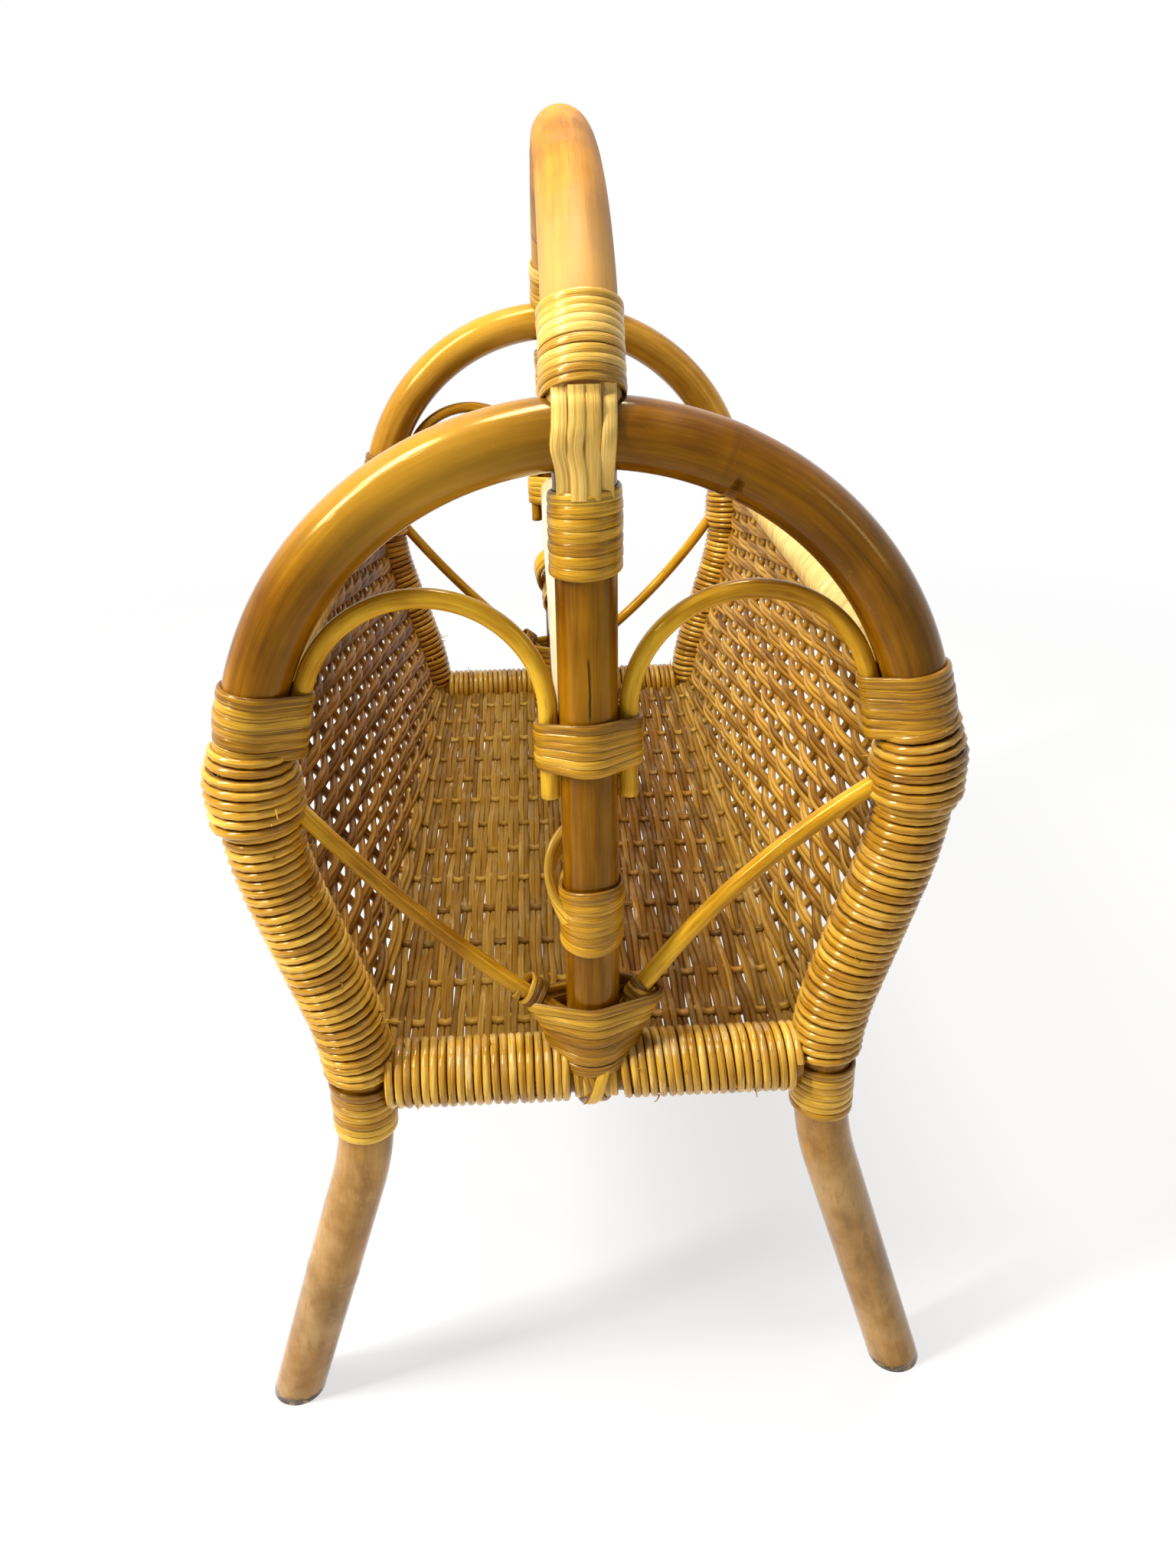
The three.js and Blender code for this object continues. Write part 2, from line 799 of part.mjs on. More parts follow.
function railWindingBody(name, hand) {
  const sizes = windingSizes(bottomRailRadius);
  return windingBody(name, (length) => crossStation(length, hand), {
    poleRadius: bottomRailRadius,
    from: railStripLength / 2 + seatGap,
    to: hoopXAt(railHeight) - bindingReach - seatGap,
    loops: railLoops,
    startAngle: -sizes.bend / sizes.loop * 2,
    lift: 0,
    liftedLoops: 0,
  });
}

// Pieces that run the length of the basket

function lengthwisePole(x, z, radius, endInset) {
  const reach = frameSpacing / 2 - endInset;
  const stations = [lengthwiseStation(x, -reach, z), lengthwiseStation(x, reach, z)];
  return poleBody(stations, radius, poleSides);
}

function rimInset() {
  return bindingReach + seatGap;
}

function rimRailBody(hand) {
  return lengthwisePole(hand * hoopXAt(rimHeight), rimHeight, rimRailRadius, rimInset());
}

function rimWrapBody(hand) {
  const reach = frameSpacing / 2 - rimInset();
  const x = hand * hoopXAt(rimHeight);
  const stations = [lengthwiseStation(x, -reach, rimHeight), lengthwiseStation(x, reach, rimHeight)];
  return sleeveOnPole(stations, rimRailRadius, rimWrapThickness);
}

function upperDividerBody() {
  const inset = postRadius + seatGap + caneThickness + seatGap;
  return lengthwisePole(0, upperDividerHeight, dividerRadius, inset);
}

function lowerDividerInset() {
  return postRadius + seatGap + lowerBindingThickness + seatGap;
}

function lowerDividerBody() {
  return lengthwisePole(0, lowerDividerHeight, dividerRadius, lowerDividerInset());
}

function collarBody(end) {
  const outerY = frameSpacing / 2 - lowerDividerInset();
  const stations = [
    lengthwiseStation(0, end * outerY, lowerDividerHeight),
    lengthwiseStation(0, end * (outerY - collarLength), lowerDividerHeight),
  ];
  return sleeveOnPole(stations, dividerRadius, collarThickness);
}

// The middle of the woven wall, right half, from under the rim rail to the middle of the
// floor: it follows the frame side, then turns through the corner radius.
function troughHalfPath() {
  const rimReach = (rimRailRadius + seatGap + rimWrapThickness) / Math.cos(Math.PI / poleSides);
  const top = rimHeight - rimReach - seatGap;
  const cornerSine = troughCornerRadius / (waistBendRadius + troughCornerRadius);
  const cornerStart = railHeight + waistBendRadius * cornerSine;
  const path = stretchByHeight(hoopPath, top, cornerStart);
  bendTo(path, -Math.PI / 2, troughCornerRadius, cornerSteps);
  path.push({ x: 0, z: last(path).z, angle: -Math.PI / 2 });
  return path;
}

// The section's middle line from one top edge to the other, with a point on every ridge of
// weavers.
function troughRidges() {
  const half = troughHalfPath();
  const sideRidges = (weaveRidges - 1) / 2;
  const total = half.slice(1).reduce((sum, point, i) => sum + distance(half[i], point), 0);
  const points = [];
  for (let ridge = 0; ridge <= sideRidges; ridge++) {
    points.push(pointAtLength(half, total * ridge / sideRidges));
  }
  const mirrored = points.slice(0, sideRidges).map(({ x, z, angle }) => (
    { x: -x, z, angle: Math.PI - angle }
  ));
  return [...points, ...mirrored.reverse()];
}

// One skin of the weave. Where a ridge passes over a stake it stands out, and where it
// passes under it lies deep, turn about along the ridge and from ridge to ridge.
function weaveSkin(face) {
  const length = frameSpacing - (raisedReach + seatGap) * 2;
  const ridges = troughRidges();
  const rows = [];
  for (let row = 0; row < stakeRows; row++) {
    const y = length * (row / (stakeRows - 1)) - length / 2;
    rows.push(ridges.map(({ x, z, angle }, ridge) => {
      const deep = (ridge + row) % 2 === (face > 0 ? 1 : 0);
      const reach = face * (weaveThickness / 2 - (deep ? weaveRelief : 0));
      return new THREE.Vector3(x + reach * Math.cos(angle), y, z + reach * Math.sin(angle));
    }));
  }
  return rows;
}

function troughBody() {
  return wallBody(weaveSkin(-1), weaveSkin(1), false);
}

// Assembly

function addPiece(group, name, geometry, finish) {
  const mesh = new THREE.Mesh(geometry, new THREE.MeshStandardMaterial(finish));
  mesh.name = name;
  group.add(mesh);
}

function addFrameSide(group, side, hand) {
  const named = (piece) => `${side}_${piece}`;
  addPiece(group, named('small_arch'), smallArchBody(hand), reedFinish);
  addPiece(group, named('slant_rod'), slantRodBody(hand, slantBows[side]), reedFinish);
  addPiece(group, named('side_binding'), sideBindingBody(hand), caneFinish);
  addPiece(group, named('corner_binding'), cornerBindingBody(hand), caneFinish);
  addPiece(group, named('side_winding'), sideWindingBody(named('side_winding'), hand), reedFinish);
  addPiece(group, named('rail_winding'), railWindingBody(named('rail_winding'), hand), reedFinish);
}

// One end frame, built with its outer face towards -Y.
function endFrame(end, minusSide, plusSide) {
  const group = new THREE.Group();
  addPiece(group, `${end}_hoop`, hoopBody(), poleFinish);
  addPiece(group, `${end}_bottom_rail`, bottomRailBody(), poleFinish);
  addPiece(group, `${end}_post`, postBody(), poleFinish);
  addPiece(group, `${end}_rail_strips`, railStripBody(), caneFinish);
  addPiece(group, `${end}_centre_binding`, centreBindingBody(), caneFinish);
  addPiece(group, `${end}_lower_binding`, lowerBindingBody(), caneFinish);
  addPiece(group, `${end}_post_wrap`, postWrapBody(), caneFinish);
  const footBinding = footBindingBody(slantBows[minusSide], slantBows[plusSide]);
  addPiece(group, `${end}_foot_binding`, footBinding, caneFinish);
  addPiece(group, `${end}_handle_wrap`, handleWrapBody(), caneFinish);
  addPiece(group, `${end}_outer_arch_strips`, archStripBody(1), caneFinish);
  addPiece(group, `${end}_inner_arch_strips`, archStripBody(-1), caneFinish);
  addFrameSide(group, minusSide, -1);
  addFrameSide(group, plusSide, 1);
  return group;
}

function basket() {
  const group = new THREE.Group();
  const front = endFrame('front', 'front_left', 'front_right');
  front.position.y = -frameSpacing / 2;
  const rear = endFrame('rear', 'rear_right', 'rear_left');
  rear.position.y = frameSpacing / 2;
  rear.rotation.z = Math.PI;
  group.add(front, rear);
  addPiece(group, 'handle', handleBody(), poleFinish);
  addPiece(group, 'upper_divider_rail', upperDividerBody(), poleFinish);
  addPiece(group, 'lower_divider_rail', lowerDividerBody(), poleFinish);
  addPiece(group, 'front_divider_collar', collarBody(-1), caneFinish);
  addPiece(group, 'rear_divider_collar', collarBody(1), caneFinish);
  for (const [sideName, hand] of [['left', -1], ['right', 1]]) {
    addPiece(group, `${sideName}_rim_rail`, rimRailBody(hand), poleFinish);
    addPiece(group, `${sideName}_rim_wrap`, rimWrapBody(hand), rimFinish);
  }
  addPiece(group, 'woven_trough', troughBody(), weaveFinish);
  return group;
}

const group = basket();

export default group;
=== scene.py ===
import math
import random

import bpy
import numpy as np
from mathutils import Matrix, Vector
from mathutils.geometry import convex_hull_2d


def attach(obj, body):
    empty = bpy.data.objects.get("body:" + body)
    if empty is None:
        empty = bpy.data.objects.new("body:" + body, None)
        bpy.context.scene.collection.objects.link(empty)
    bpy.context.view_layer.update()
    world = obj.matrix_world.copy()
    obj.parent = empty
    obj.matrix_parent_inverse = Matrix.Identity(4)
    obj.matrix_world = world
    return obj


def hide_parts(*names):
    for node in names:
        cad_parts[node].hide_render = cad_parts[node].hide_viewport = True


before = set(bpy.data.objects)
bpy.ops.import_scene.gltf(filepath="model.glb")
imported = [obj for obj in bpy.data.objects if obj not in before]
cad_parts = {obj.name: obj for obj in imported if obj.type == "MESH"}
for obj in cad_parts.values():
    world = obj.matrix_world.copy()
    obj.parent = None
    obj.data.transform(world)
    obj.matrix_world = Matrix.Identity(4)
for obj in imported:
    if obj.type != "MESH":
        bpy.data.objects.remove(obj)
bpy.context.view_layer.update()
mm = 0.001
troughBend = 0.235   # metres: below this height the trough is floor, above it wall
print("frame loaded")


def placed(name, data):
    made = bpy.data.objects.new(name, data)
    bpy.context.scene.collection.objects.link(made)
    return made


# Camera, found from the photograph's own lines
cameraLook = {
    "place": (-0.0184, -0.6462, 0.544),
    "yaw": 2.46,      # degrees towards +X
    "pitch": 26.14,   # degrees below the horizon
    "roll": -1.0,
    "lens": 26.77,    # mm on a 36 mm long side
}


def makeCamera(look):
    data = bpy.data.cameras.new("camera")
    data.lens, data.sensor_width, data.clip_start, data.clip_end = look["lens"], 36, 0.02, 50
    camera = placed("camera", data)
    camera.matrix_world = Matrix.Translation(look["place"])
    for degrees, axis in ((-look["yaw"], "Z"), (90 - look["pitch"], "X"), (look["roll"], "Z")):
        camera.matrix_world @= Matrix.Rotation(math.radians(degrees), 4, axis)
    bpy.context.scene.camera = camera


makeCamera(cameraLook)
print("camera made")


class Wire:
    # a socket whose arithmetic adds Math nodes
    def __init__(self, board, socket):
        self.board, self.socket = board, socket

    def __add__(self, other):
        return self.board.maths("ADD", self, other)

    def __sub__(self, other):
        return self.board.maths("SUBTRACT", self, other)

    def __rsub__(self, other):
        return self.board.maths("SUBTRACT", other, self)

    def __mul__(self, other):
        return self.board.maths("MULTIPLY", self, other)

    def __truediv__(self, other):
        return self.board.maths("DIVIDE", self, other)

    def __pow__(self, other):
        return self.board.maths("POWER", self, other)


class Board:
    # a node tree with one way to add a node: its settings first, then its sockets
    def __init__(self, tree):
        self.tree = tree

    def place(self, kind, values=None, stops=(), **settings):
        node = self.tree.nodes.new(kind)
        for name, value in settings.items():
            setattr(node, name, value)
        if stops:
            elements = node.color_ramp.elements
            while len(elements) < len(stops):
                elements.new(0.5)
            for element, (where, colour) in zip(elements, stops):
                element.position, element.color = where, (*colour, 1)
        for key, value in (values or {}).items():
            self.feed(node.inputs[key], value)
        return node

    def feed(self, socket, value):
        if isinstance(value, Wire):
            self.tree.links.new(value.socket, socket)
        elif socket.type == "RGBA" and len(value) == 3:
            socket.default_value = (*value, 1)
        else:
            socket.default_value = value

    def add(self, kind, values=None, output=0, **settings):
        return Wire(self, self.place(kind, values, **settings).outputs[output])

    def maths(self, operation, *values):
        return self.add("ShaderNodeMath", dict(enumerate(values)), operation=operation)

    def parts(self, vector):
        return [Wire(self, socket) for socket in self.place("ShaderNodeSeparateXYZ", {0: vector}).outputs]

    def mix(self, first, second, share, blend="MIX"):
        # colours only: 6 and 7 are the colour sockets of Mix, and 2 is its colour output
        return self.add("ShaderNodeMix", {0: share, 6: first, 7: second}, 2, data_type="RGBA", blend_type=blend)

    def within(self, value, low, high):
        # 0 below low, 1 above high, smooth between
        return self.add("ShaderNodeMapRange", {"Value": value, "From Min": low, "From Max": high},
                        interpolation_type="SMOOTHSTEP")

    def noise(self, where, scale, detail=2.0, rough=0.5, squeeze=None):
        # a squeeze below 1 draws the pattern out along Z
        if squeeze:
            where = self.add("ShaderNodeMapping", {"Vector": where, "Scale": (1, 1, squeeze)})
        return self.add("ShaderNodeTexNoise", {"Vector": where, "Scale": scale, "Detail": detail, "Roughness": rough})

    def speckled(self, where, scale, detail, rough, squeeze, low, high):
        # a mask: 0 where the noise is below low, 1 where it is above high
        return self.within(self.noise(where, scale, detail, rough, squeeze), low, high)

    def named(self, name, output=2):
        # 1 is the vector output of Attribute, 2 its factor
        return self.add("ShaderNodeAttribute", None, output, attribute_name=name)


def shaderBoard(name):
    made = bpy.data.materials.new(name)
    made.use_nodes = True
    made.node_tree.nodes.clear()
    return made, Board(made.node_tree)


# scale, detail, roughness, squeeze, and the noise at which the mask starts and is full
speckles = {
    "flecks": (1500.0, 1.0, 0.5, 0.05, 0.66, 0.74), "scuffs": (330.0, 4.0, 0.7, 0.3, 0.66, 0.7),
    "chips": (260.0, 4.0, 0.7, None, 0.42, 0.5), "legPatches": (28.0, 4.0, 0.65, None, 0.3, 0.7),
    "legGrain": (800.0, 2.0, 0.5, 0.03, 0.5, 0.62), "legStains": (120.0, 5.0, 0.7, 0.4, 0.56, 0.64),
}


# Cane finishes. Poles carry "run" (metres round and along) and "marks" (node ring, cut end, tone);
# strands carry "side" and "edge" (place on their section), "along" (metres), "strand" (their own shift) and "tone".
def shaded(board, depth, look):
    return board.add("ShaderNodeValToRGB", {0: depth}, stops=list(zip(look["stops"], look["shades"])))


def dustMask(board, place, look):
    # dust lies in patches on what faces up
    upward = board.parts(board.add("ShaderNodeNewGeometry", None, 1))[2]
    patches = board.speckled(place, look["dustScale"], 5.0, 0.65, None, 0.42, 0.72)
    return board.within(upward, 0.2, 1.0) * patches * look["dust"]


def finishShader(board, look, height, values):
    bump = board.add("ShaderNodeBump", {"Height": height, "Strength": look["bump"], "Distance": 0.0004})
    surface = board.add("ShaderNodeBsdfPrincipled", {
        **values, "Specular IOR Level": look["sheen"], "Specular Tint": look["tint"], "Normal": bump})
    board.place("ShaderNodeOutputMaterial", {"Surface": surface})


def poleFinish(name, look, patches=None):
    # patches(board, place, colour) may tint whole areas
    made, board = shaderBoard(name)
    dark, _, light = look["shades"]
    run = board.named("run", 1)
    ring, cut, tone = board.parts(board.named("marks", 1))
    place = board.add("ShaderNodeTexCoord", None, 3)
    fine = board.noise(run, look["fineScale"], 3.0, 0.6, 0.02)
    broad = board.noise(run, look["broadScale"], 3.0, 0.55, 0.08)
    clouds = board.noise(place, 11.0, 4.0, 0.55)
    colour = shaded(board, fine * 0.11 + broad * 0.29 + clouds * 0.6 + tone * 0.1, look)
    flecks = board.speckled(run, *speckles["flecks"])
    colour = board.mix(colour, dark, flecks * look["flecks"])
    colour = board.mix(colour, look["ring"], board.within(ring, 0.3, 0.9) * 0.3)
    colour = board.mix(colour, look["cut"], cut)
    if patches:
        colour = patches(board, place, colour)
    foot = board.within(0.005 - board.parts(place)[2], -0.002, 0.003)
    colour = board.mix(colour, (0.02, 0.014, 0.008), foot * board.speckled(place, *speckles["chips"]))
    scuffs = board.speckled(run, *speckles["scuffs"])
    colour = board.mix(colour, light, scuffs * look["scuffs"])
    dusty = dustMask(board, place, look)
    finishShader(board, look, fine * 0.7 + broad * 0.3 - flecks * 0.4, {
        "Base Color": board.mix(colour, (0.62, 0.55, 0.45), dusty),
        "Roughness": broad * 0.1 + look["rough"] + cut * 0.4 + dusty * 0.4 + scuffs * 0.2})
    return made


def strandFinish(name, look, patches=None):
    made, board = shaderBoard(name)
    side = board.parts(board.named("side", 1))
    along, tone, strand, edge = (board.named(key) for key in ("along", "tone", "strand", "edge"))
    place = board.add("ShaderNodeTexCoord", None, 3)
    run = board.add("ShaderNodeCombineXYZ", {0: side[0] + strand, 1: side[1], 2: along + strand})
    fine = board.noise(run, look["fineScale"], 2.0, 0.6, 0.03)
    worn = board.noise(run, look["wearScale"], 4.0, 0.6, 0.25)
    colour = shaded(board, fine * 0.44 + worn * 0.2 + tone * 0.36, look)
    grooved = board.speckled(run, look["grooveScale"], 1.0, 0.5, 0.006, 0.56, 0.66) * look["grooves"]
    # painted shade: the sides of each strand's section, in the seams where it meets its neighbours, are painted dark
    # in the groove colour, by the share "rim"
    rim = board.within(edge, 0.74, 1.0) * look["rim"]
    colour = board.mix(colour, look["grooveAndSeamShade"], board.maths("MAXIMUM", grooved, rim))
    if patches:
        colour = patches(board, place, colour)
    bare = board.within(worn, 0.6, 0.72) * look["wear"]
    colour = board.mix(colour, look["bare"], bare)
    dusty = dustMask(board, place, look)
    finishShader(board, look, fine * 0.6 - grooved, {
        "Base Color": board.mix(colour, look["dustColour"], dusty),
        "Roughness": fine * 0.18 + look["rough"] + bare * 0.25 + dusty * 0.3,
        "Coat Weight": look["coat"] - dusty * look["coat"], "Coat Roughness": 0.1})
    return made


# "shades" run from dark to light, and "stops" are their places on the ramp
poleLook = {
    "shades": ((0.1, 0.03, 0.0006), (0.235, 0.085, 0.001), (0.46, 0.205, 0.004)), "stops": (0.38, 0.5, 0.64),
    "ring": (0.09, 0.03, 0.004), "cut": (0.5, 0.36, 0.18), "tint": (1.0, 0.66, 0.2), "fineScale": 1400.0,
    "broadScale": 240.0, "flecks": 0.25, "scuffs": 0.2, "rough": 0.1, "sheen": 0.44, "bump": 0.1,
    "dust": 0.05, "dustScale": 60.0,
}
handleLook = {
    **poleLook, "shades": ((0.2, 0.068, 0.0015), (0.35, 0.135, 0.004), (0.53, 0.235, 0.014)),
    "rough": 0.42, "sheen": 0.14, "flecks": 0.6, "bump": 0.25, "tint": (1.0, 0.74, 0.34),
}
# the post is painted darker than the other poles: partly its own darker honey colour, partly painted shade, as its
# upright front gets less light
postLook = {**poleLook, "shades": ((0.07, 0.02, 0.0004), (0.15, 0.05, 0.0005), (0.32, 0.13, 0.002))}
rearLook = {**poleLook, "shades": ((0.22, 0.09, 0.004), (0.4, 0.19, 0.018), (0.62, 0.36, 0.07))}
rodLook = {
    **poleLook, "shades": ((0.25, 0.095, 0.003), (0.52, 0.25, 0.008), (0.8, 0.47, 0.03)),
    "fineScale": 2200.0, "broadScale": 600.0, "flecks": 0.35,
}
# "rim" is how much painted shade darkens the sides of a strand, in the seams between strands
caneLook = {
    "shades": ((0.18, 0.062, 0.002), (0.5, 0.24, 0.008), (0.82, 0.5, 0.055)), "stops": (0.3, 0.48, 0.7),
    "bare": (0.88, 0.66, 0.24), "dustColour": (0.6, 0.52, 0.38), "grooveAndSeamShade": (0.13, 0.05, 0.006),
    "tint": (1.0, 0.76, 0.33), "fineScale": 2600.0, "grooveScale": 1500.0, "grooves": 0.6, "rim": 0.65,
    "wearScale": 160.0, "wear": 0.35, "rough": 0.16, "coat": 0.12, "sheen": 0.36, "bump": 0.6,
    "dust": 0.08, "dustScale": 90.0,
}
stripLook = {
    **caneLook, "shades": ((0.26, 0.105, 0.005), (0.59, 0.325, 0.04), (0.87, 0.57, 0.15)),
    "grooves": 0.25, "rim": 0.45, "wear": 0.4,
}
darkLook = {
    **caneLook, "shades": ((0.09, 0.03, 0.001), (0.31, 0.13, 0.003), (0.66, 0.37, 0.03)),
    "wear": 0.3, "rim": 0.95, "grooves": 0.75, "sheen": 0.3,
}
reedLook = {
    **caneLook, "shades": ((0.17, 0.06, 0.002), (0.47, 0.225, 0.011), (0.82, 0.52, 0.08)),
    "fineScale": 2000.0, "grooves": 0.3, "rim": 0.92, "wear": 0.4, "rough": 0.12, "coat": 0.25, "bump": 0.3,
}
railReedLook = {**reedLook, "wear": 0.6, "dust": 0.35, "bare": (0.78, 0.58, 0.22)}
rimLook = {
    **caneLook, "shades": ((0.42, 0.24, 0.06), (0.66, 0.43, 0.13), (0.85, 0.63, 0.26)),
    "bare": (0.9, 0.76, 0.48), "rough": 0.5, "coat": 0.05, "wear": 0.5, "dust": 0.15, "rim": 0.0, "grooves": 0.3,
}
weaveLook = {
    **caneLook, "shades": ((0.13, 0.05, 0.004), (0.38, 0.19, 0.017), (0.68, 0.42, 0.075)),
    "bare": (0.74, 0.54, 0.24), "dustColour": (0.44, 0.33, 0.16), "rough": 0.36, "coat": 0.08,
    "fineScale": 1700.0, "dust": 0.22, "dustScale": 45.0, "bump": 0.5, "grooves": 0.4, "sheen": 0.2,
}


def troughShadeAndTints(board, place, colour):
    # the left wall is painted darker mauve-brown, as painted shade where it faces away from the light; the floor is
    # red-brown to the right and golden elsewhere
    across, _, height = board.parts(place)
    low = board.within(troughBend - height, 0.0, 0.05)
    # painted shade on the left wall
    shadedLeftWall = board.within(-0.06 - across, 0.0, 0.03) * (1 - low)
    redFloor = board.within(across, -0.02, 0.02) * low * board.within(0.1 - across, 0.0, 0.04)
    rightWall = board.within(across - 0.06, 0.0, 0.03) * (1 - low)
    for tint, share in (((0.62, 0.42, 0.26), shadedLeftWall * 0.75), ((0.71, 0.62, 0.38), low),
                        ((0.52, 0.33, 0.34), redFloor * 0.95), ((0.88, 0.78, 0.66), rightWall)):
        colour = board.mix(colour, tint, share, "MULTIPLY")
    return board.mix(colour, (0.5, 0.29, 0.05), low * (1 - redFloor) * 0.15)


def litWornSide(board, place, colour):
    # the upper divider rail is painted paler towards the left: partly lost varnish, partly painted light where the
    # light falls on that face
    worn = board.noise(place, 35.0, 3.0) * 0.006 - board.parts(place)[0]
    return board.mix(colour, (0.8, 0.62, 0.34), board.within(worn, 0.003, 0.006) * 0.9)


def paleEnds(board, place, colour):
    # the handle is straw-coloured near its two ends
    low = board.within(0.57 - board.parts(place)[2], 0.0, 0.05)
    return board.mix(colour, (0.74, 0.47, 0.17), low * 0.4)


def litArchAndAgedLegs(board, place, colour):
    # the arch is painted more golden to the upper left, as painted light where the light falls on it, and the legs
    # are paler and duller than the arch
    across, _, height = board.parts(place)
    # painted light: the upper left of the arch turns more golden
    golden = board.within(0.02 - across, 0.0, 0.08) * board.within(height, 0.42, 0.465)
    low = board.within(0.19 - height, 0.0, 0.03)
    patches, grain, stains = (board.speckled(place, *speckles["leg" + key]) for key in ("Patches", "Grain", "Stains"))
    for tint, share in (((0.62, 0.34, 0.03), golden * 0.4), ((0.62, 0.4, 0.17), low * (patches * 0.45 + 0.1)),
                        ((0.3, 0.15, 0.04), low * grain * 0.35), ((0.2, 0.09, 0.02), low * stains * 0.4)):
        colour = board.mix(colour, tint, share)
    return colour


def crackedFront(board, place, colour):
    # a fine dark split down the front post, above the middle binding
    across, lengthwise, height = board.parts(place)
    middle = (board.noise(place, 90.0, 2.0) - 0.5) * 0.002
    offset = board.maths("ABSOLUTE", across - middle)
    split = board.within(0.0006 - offset, 0.0, 0.0003) * board.within(height, 0.37, 0.375)
    split = split * board.within(0.399 - height, 0.0, 0.004) * board.within(-0.238 - lengthwise, 0.0, 0.002)
    return board.mix(colour, (0.03, 0.012, 0.002), split)


def sideLitReed(board, place, colour):
    # painted light: the reed is painted paler on the left side, where the light falls, and darker on the right side,
    # as painted shade
    across = board.parts(place)[0]
    colour = board.mix(colour, (1.2, 1.2, 1.15), board.within(-0.05 - across, 0.0, 0.02), "MULTIPLY")
    return board.mix(colour, (0.9, 0.82, 0.6), board.within(across - 0.05, 0.0, 0.02) * 0.6, "MULTIPLY")


poleCane = poleFinish("honey pole", poleLook)
hoopCane = poleFinish("arch and leg pole", poleLook, litArchAndAgedLegs)
postCane = poleFinish("post pole", postLook, crackedFront)
handleCane = poleFinish("handle pole", handleLook, paleEnds)
rearCane = poleFinish("rear arch and leg pole", rearLook, litArchAndAgedLegs)
litWornCane = poleFinish("worn and lit rail", poleLook, litWornSide)
rodCane = poleFinish("golden rod", rodLook)
flatCane = strandFinish("flat cane", caneLook)
darkCane = strandFinish("dark flat cane", darkLook)
stripCane = strandFinish("smooth flat cane", stripLook)
roundReed = strandFinish("round reed", reedLook, sideLitReed)
railReed = strandFinish("dusty rail reed", railReedLook)
rimCane = strandFinish("pale rim cane", rimLook)
wovenReed = strandFinish("woven reed", weaveLook, troughShadeAndTints)
print("finishes made")


# Paths, in millimetres, in the plane of an end frame or along the basket
def lengths(points):
    return np.concatenate([[0], np.cumsum(np.linalg.norm(np.diff(points, axis=0), axis=1))])


def resampled(points, where):
    # points at these lengths along the path
    have = lengths(points)
    return np.stack([np.interp(where, have, points[:, k]) for k in range(points.shape[1])], axis=1)


def unit(vectors):
    return vectors / np.linalg.norm(vectors, axis=-1, keepdims=True)


def walk(start, heading, moves, step=3.0):
    # a turtle on a flat sheet: each move is a length and the angle that it turns to the right
    points, angle = [np.array(start, float)], math.radians(heading)
    for length, turn in moves:
        count = max(1, int(round(length / step)))
        bend = -math.radians(turn) / count
        for _ in range(count):
            angle += bend / 2
            points.append(points[-1] + length / count * np.array((math.cos(angle), math.sin(angle))))
            angle += bend / 2
    return np.array(points)


def arcMove(radius, degrees):
    return abs(radius * math.radians(degrees)), degrees


frameSizes = {
    "spacing": 465.0, "archRadius": 131.0, "archCentre": 345.0, "shoulderDrop": 4.0, "shoulderBend": 170.0,
    "lean": 16.0, "sideStraight": 54.0, "waistBend": 150.0, "waistStraight": 13.0, "legBend": 160.0,
    "legSplay": 17.6, "legHeight": 139.5, "footX": 155.4, "hoopRadius": 12.5, "postRadius": 11.5, "postFoot": 209.0,
    "railRadius": 12.0, "railHeight": 200.9, "railReach": 92.0,
}
hoopRadius, postRadius = frameSizes["hoopRadius"], frameSizes["postRadius"]
railRadius, railHeight = frameSizes["railRadius"], frameSizes["railHeight"]
archTop = frameSizes["archCentre"] + frameSizes["archRadius"]
halfSpan = frameSizes["spacing"] / 2
xAxis, yAxis, zAxis = np.eye(3)
ends = {"front": -1, "rear": 1}
hands = {"left": -1, "right": 1}
frameY = {end: sign * halfSpan for end, sign in ends.items()}
# the name that a piece starts with, the name that its node starts with, the frame's Y and the side of X
corners = {end + hand: (end + hand.title(), f"{end}_{hand}_", frameY[end], sign)
           for end in ends for hand, sign in hands.items()}


def hoopHalf(sizes):
    # from the top of the arch down the right side to the foot
    path = walk((0, archTop), 0, [
        arcMove(sizes["archRadius"], 90), (sizes["shoulderDrop"], 0), arcMove(sizes["shoulderBend"], sizes["lean"]),
        (sizes["sideStraight"], 0), arcMove(sizes["waistBend"], -sizes["lean"]), (sizes["waistStraight"], 0),
        arcMove(sizes["legBend"], -sizes["legSplay"]),
        (sizes["legHeight"] / math.cos(math.radians(sizes["legSplay"])), 0)])
    path[-1] = (sizes["footX"], 0.0)
    return path


halfPath = hoopHalf(frameSizes)


def stretchOf(points, low, high, step=3.0):
    # the part of a falling or rising half path between two heights
    have, heights = lengths(points), points[:, -1]
    order = np.argsort(heights)
    first, second = sorted(np.interp((low, high), heights[order], have[order]))
    return resampled(points, np.linspace(first, second, max(2, int((second - first) / step) + 1)))


def onFrame(points, y, hand=1):
    # a flat (x, z) path set in the plane of an end frame
    return np.column_stack([points[:, 0] * hand, np.full(len(points), y), points[:, 1]])


def alongBasket(x, z, ys):
    return np.column_stack([np.full(len(ys), x), ys, np.full(len(ys), z)])


def tangentsOf(points):
    return unit(np.gradient(points, axis=0))


def writeAttributes(mesh, attributes):
    for key, values in attributes.items():
        values = np.asarray(values, float)
        kind, field = ("FLOAT_VECTOR", "vector") if values.ndim == 2 else ("FLOAT", "value")
        mesh.attributes.new(key, kind, "POINT").data.foreach_set(field, values.ravel())


def settle(name, mesh, node):
    # a piece that stands for no node of the frame has None
    piece = placed(name, mesh)
    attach(piece, "root")
    if node:
        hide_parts(node)


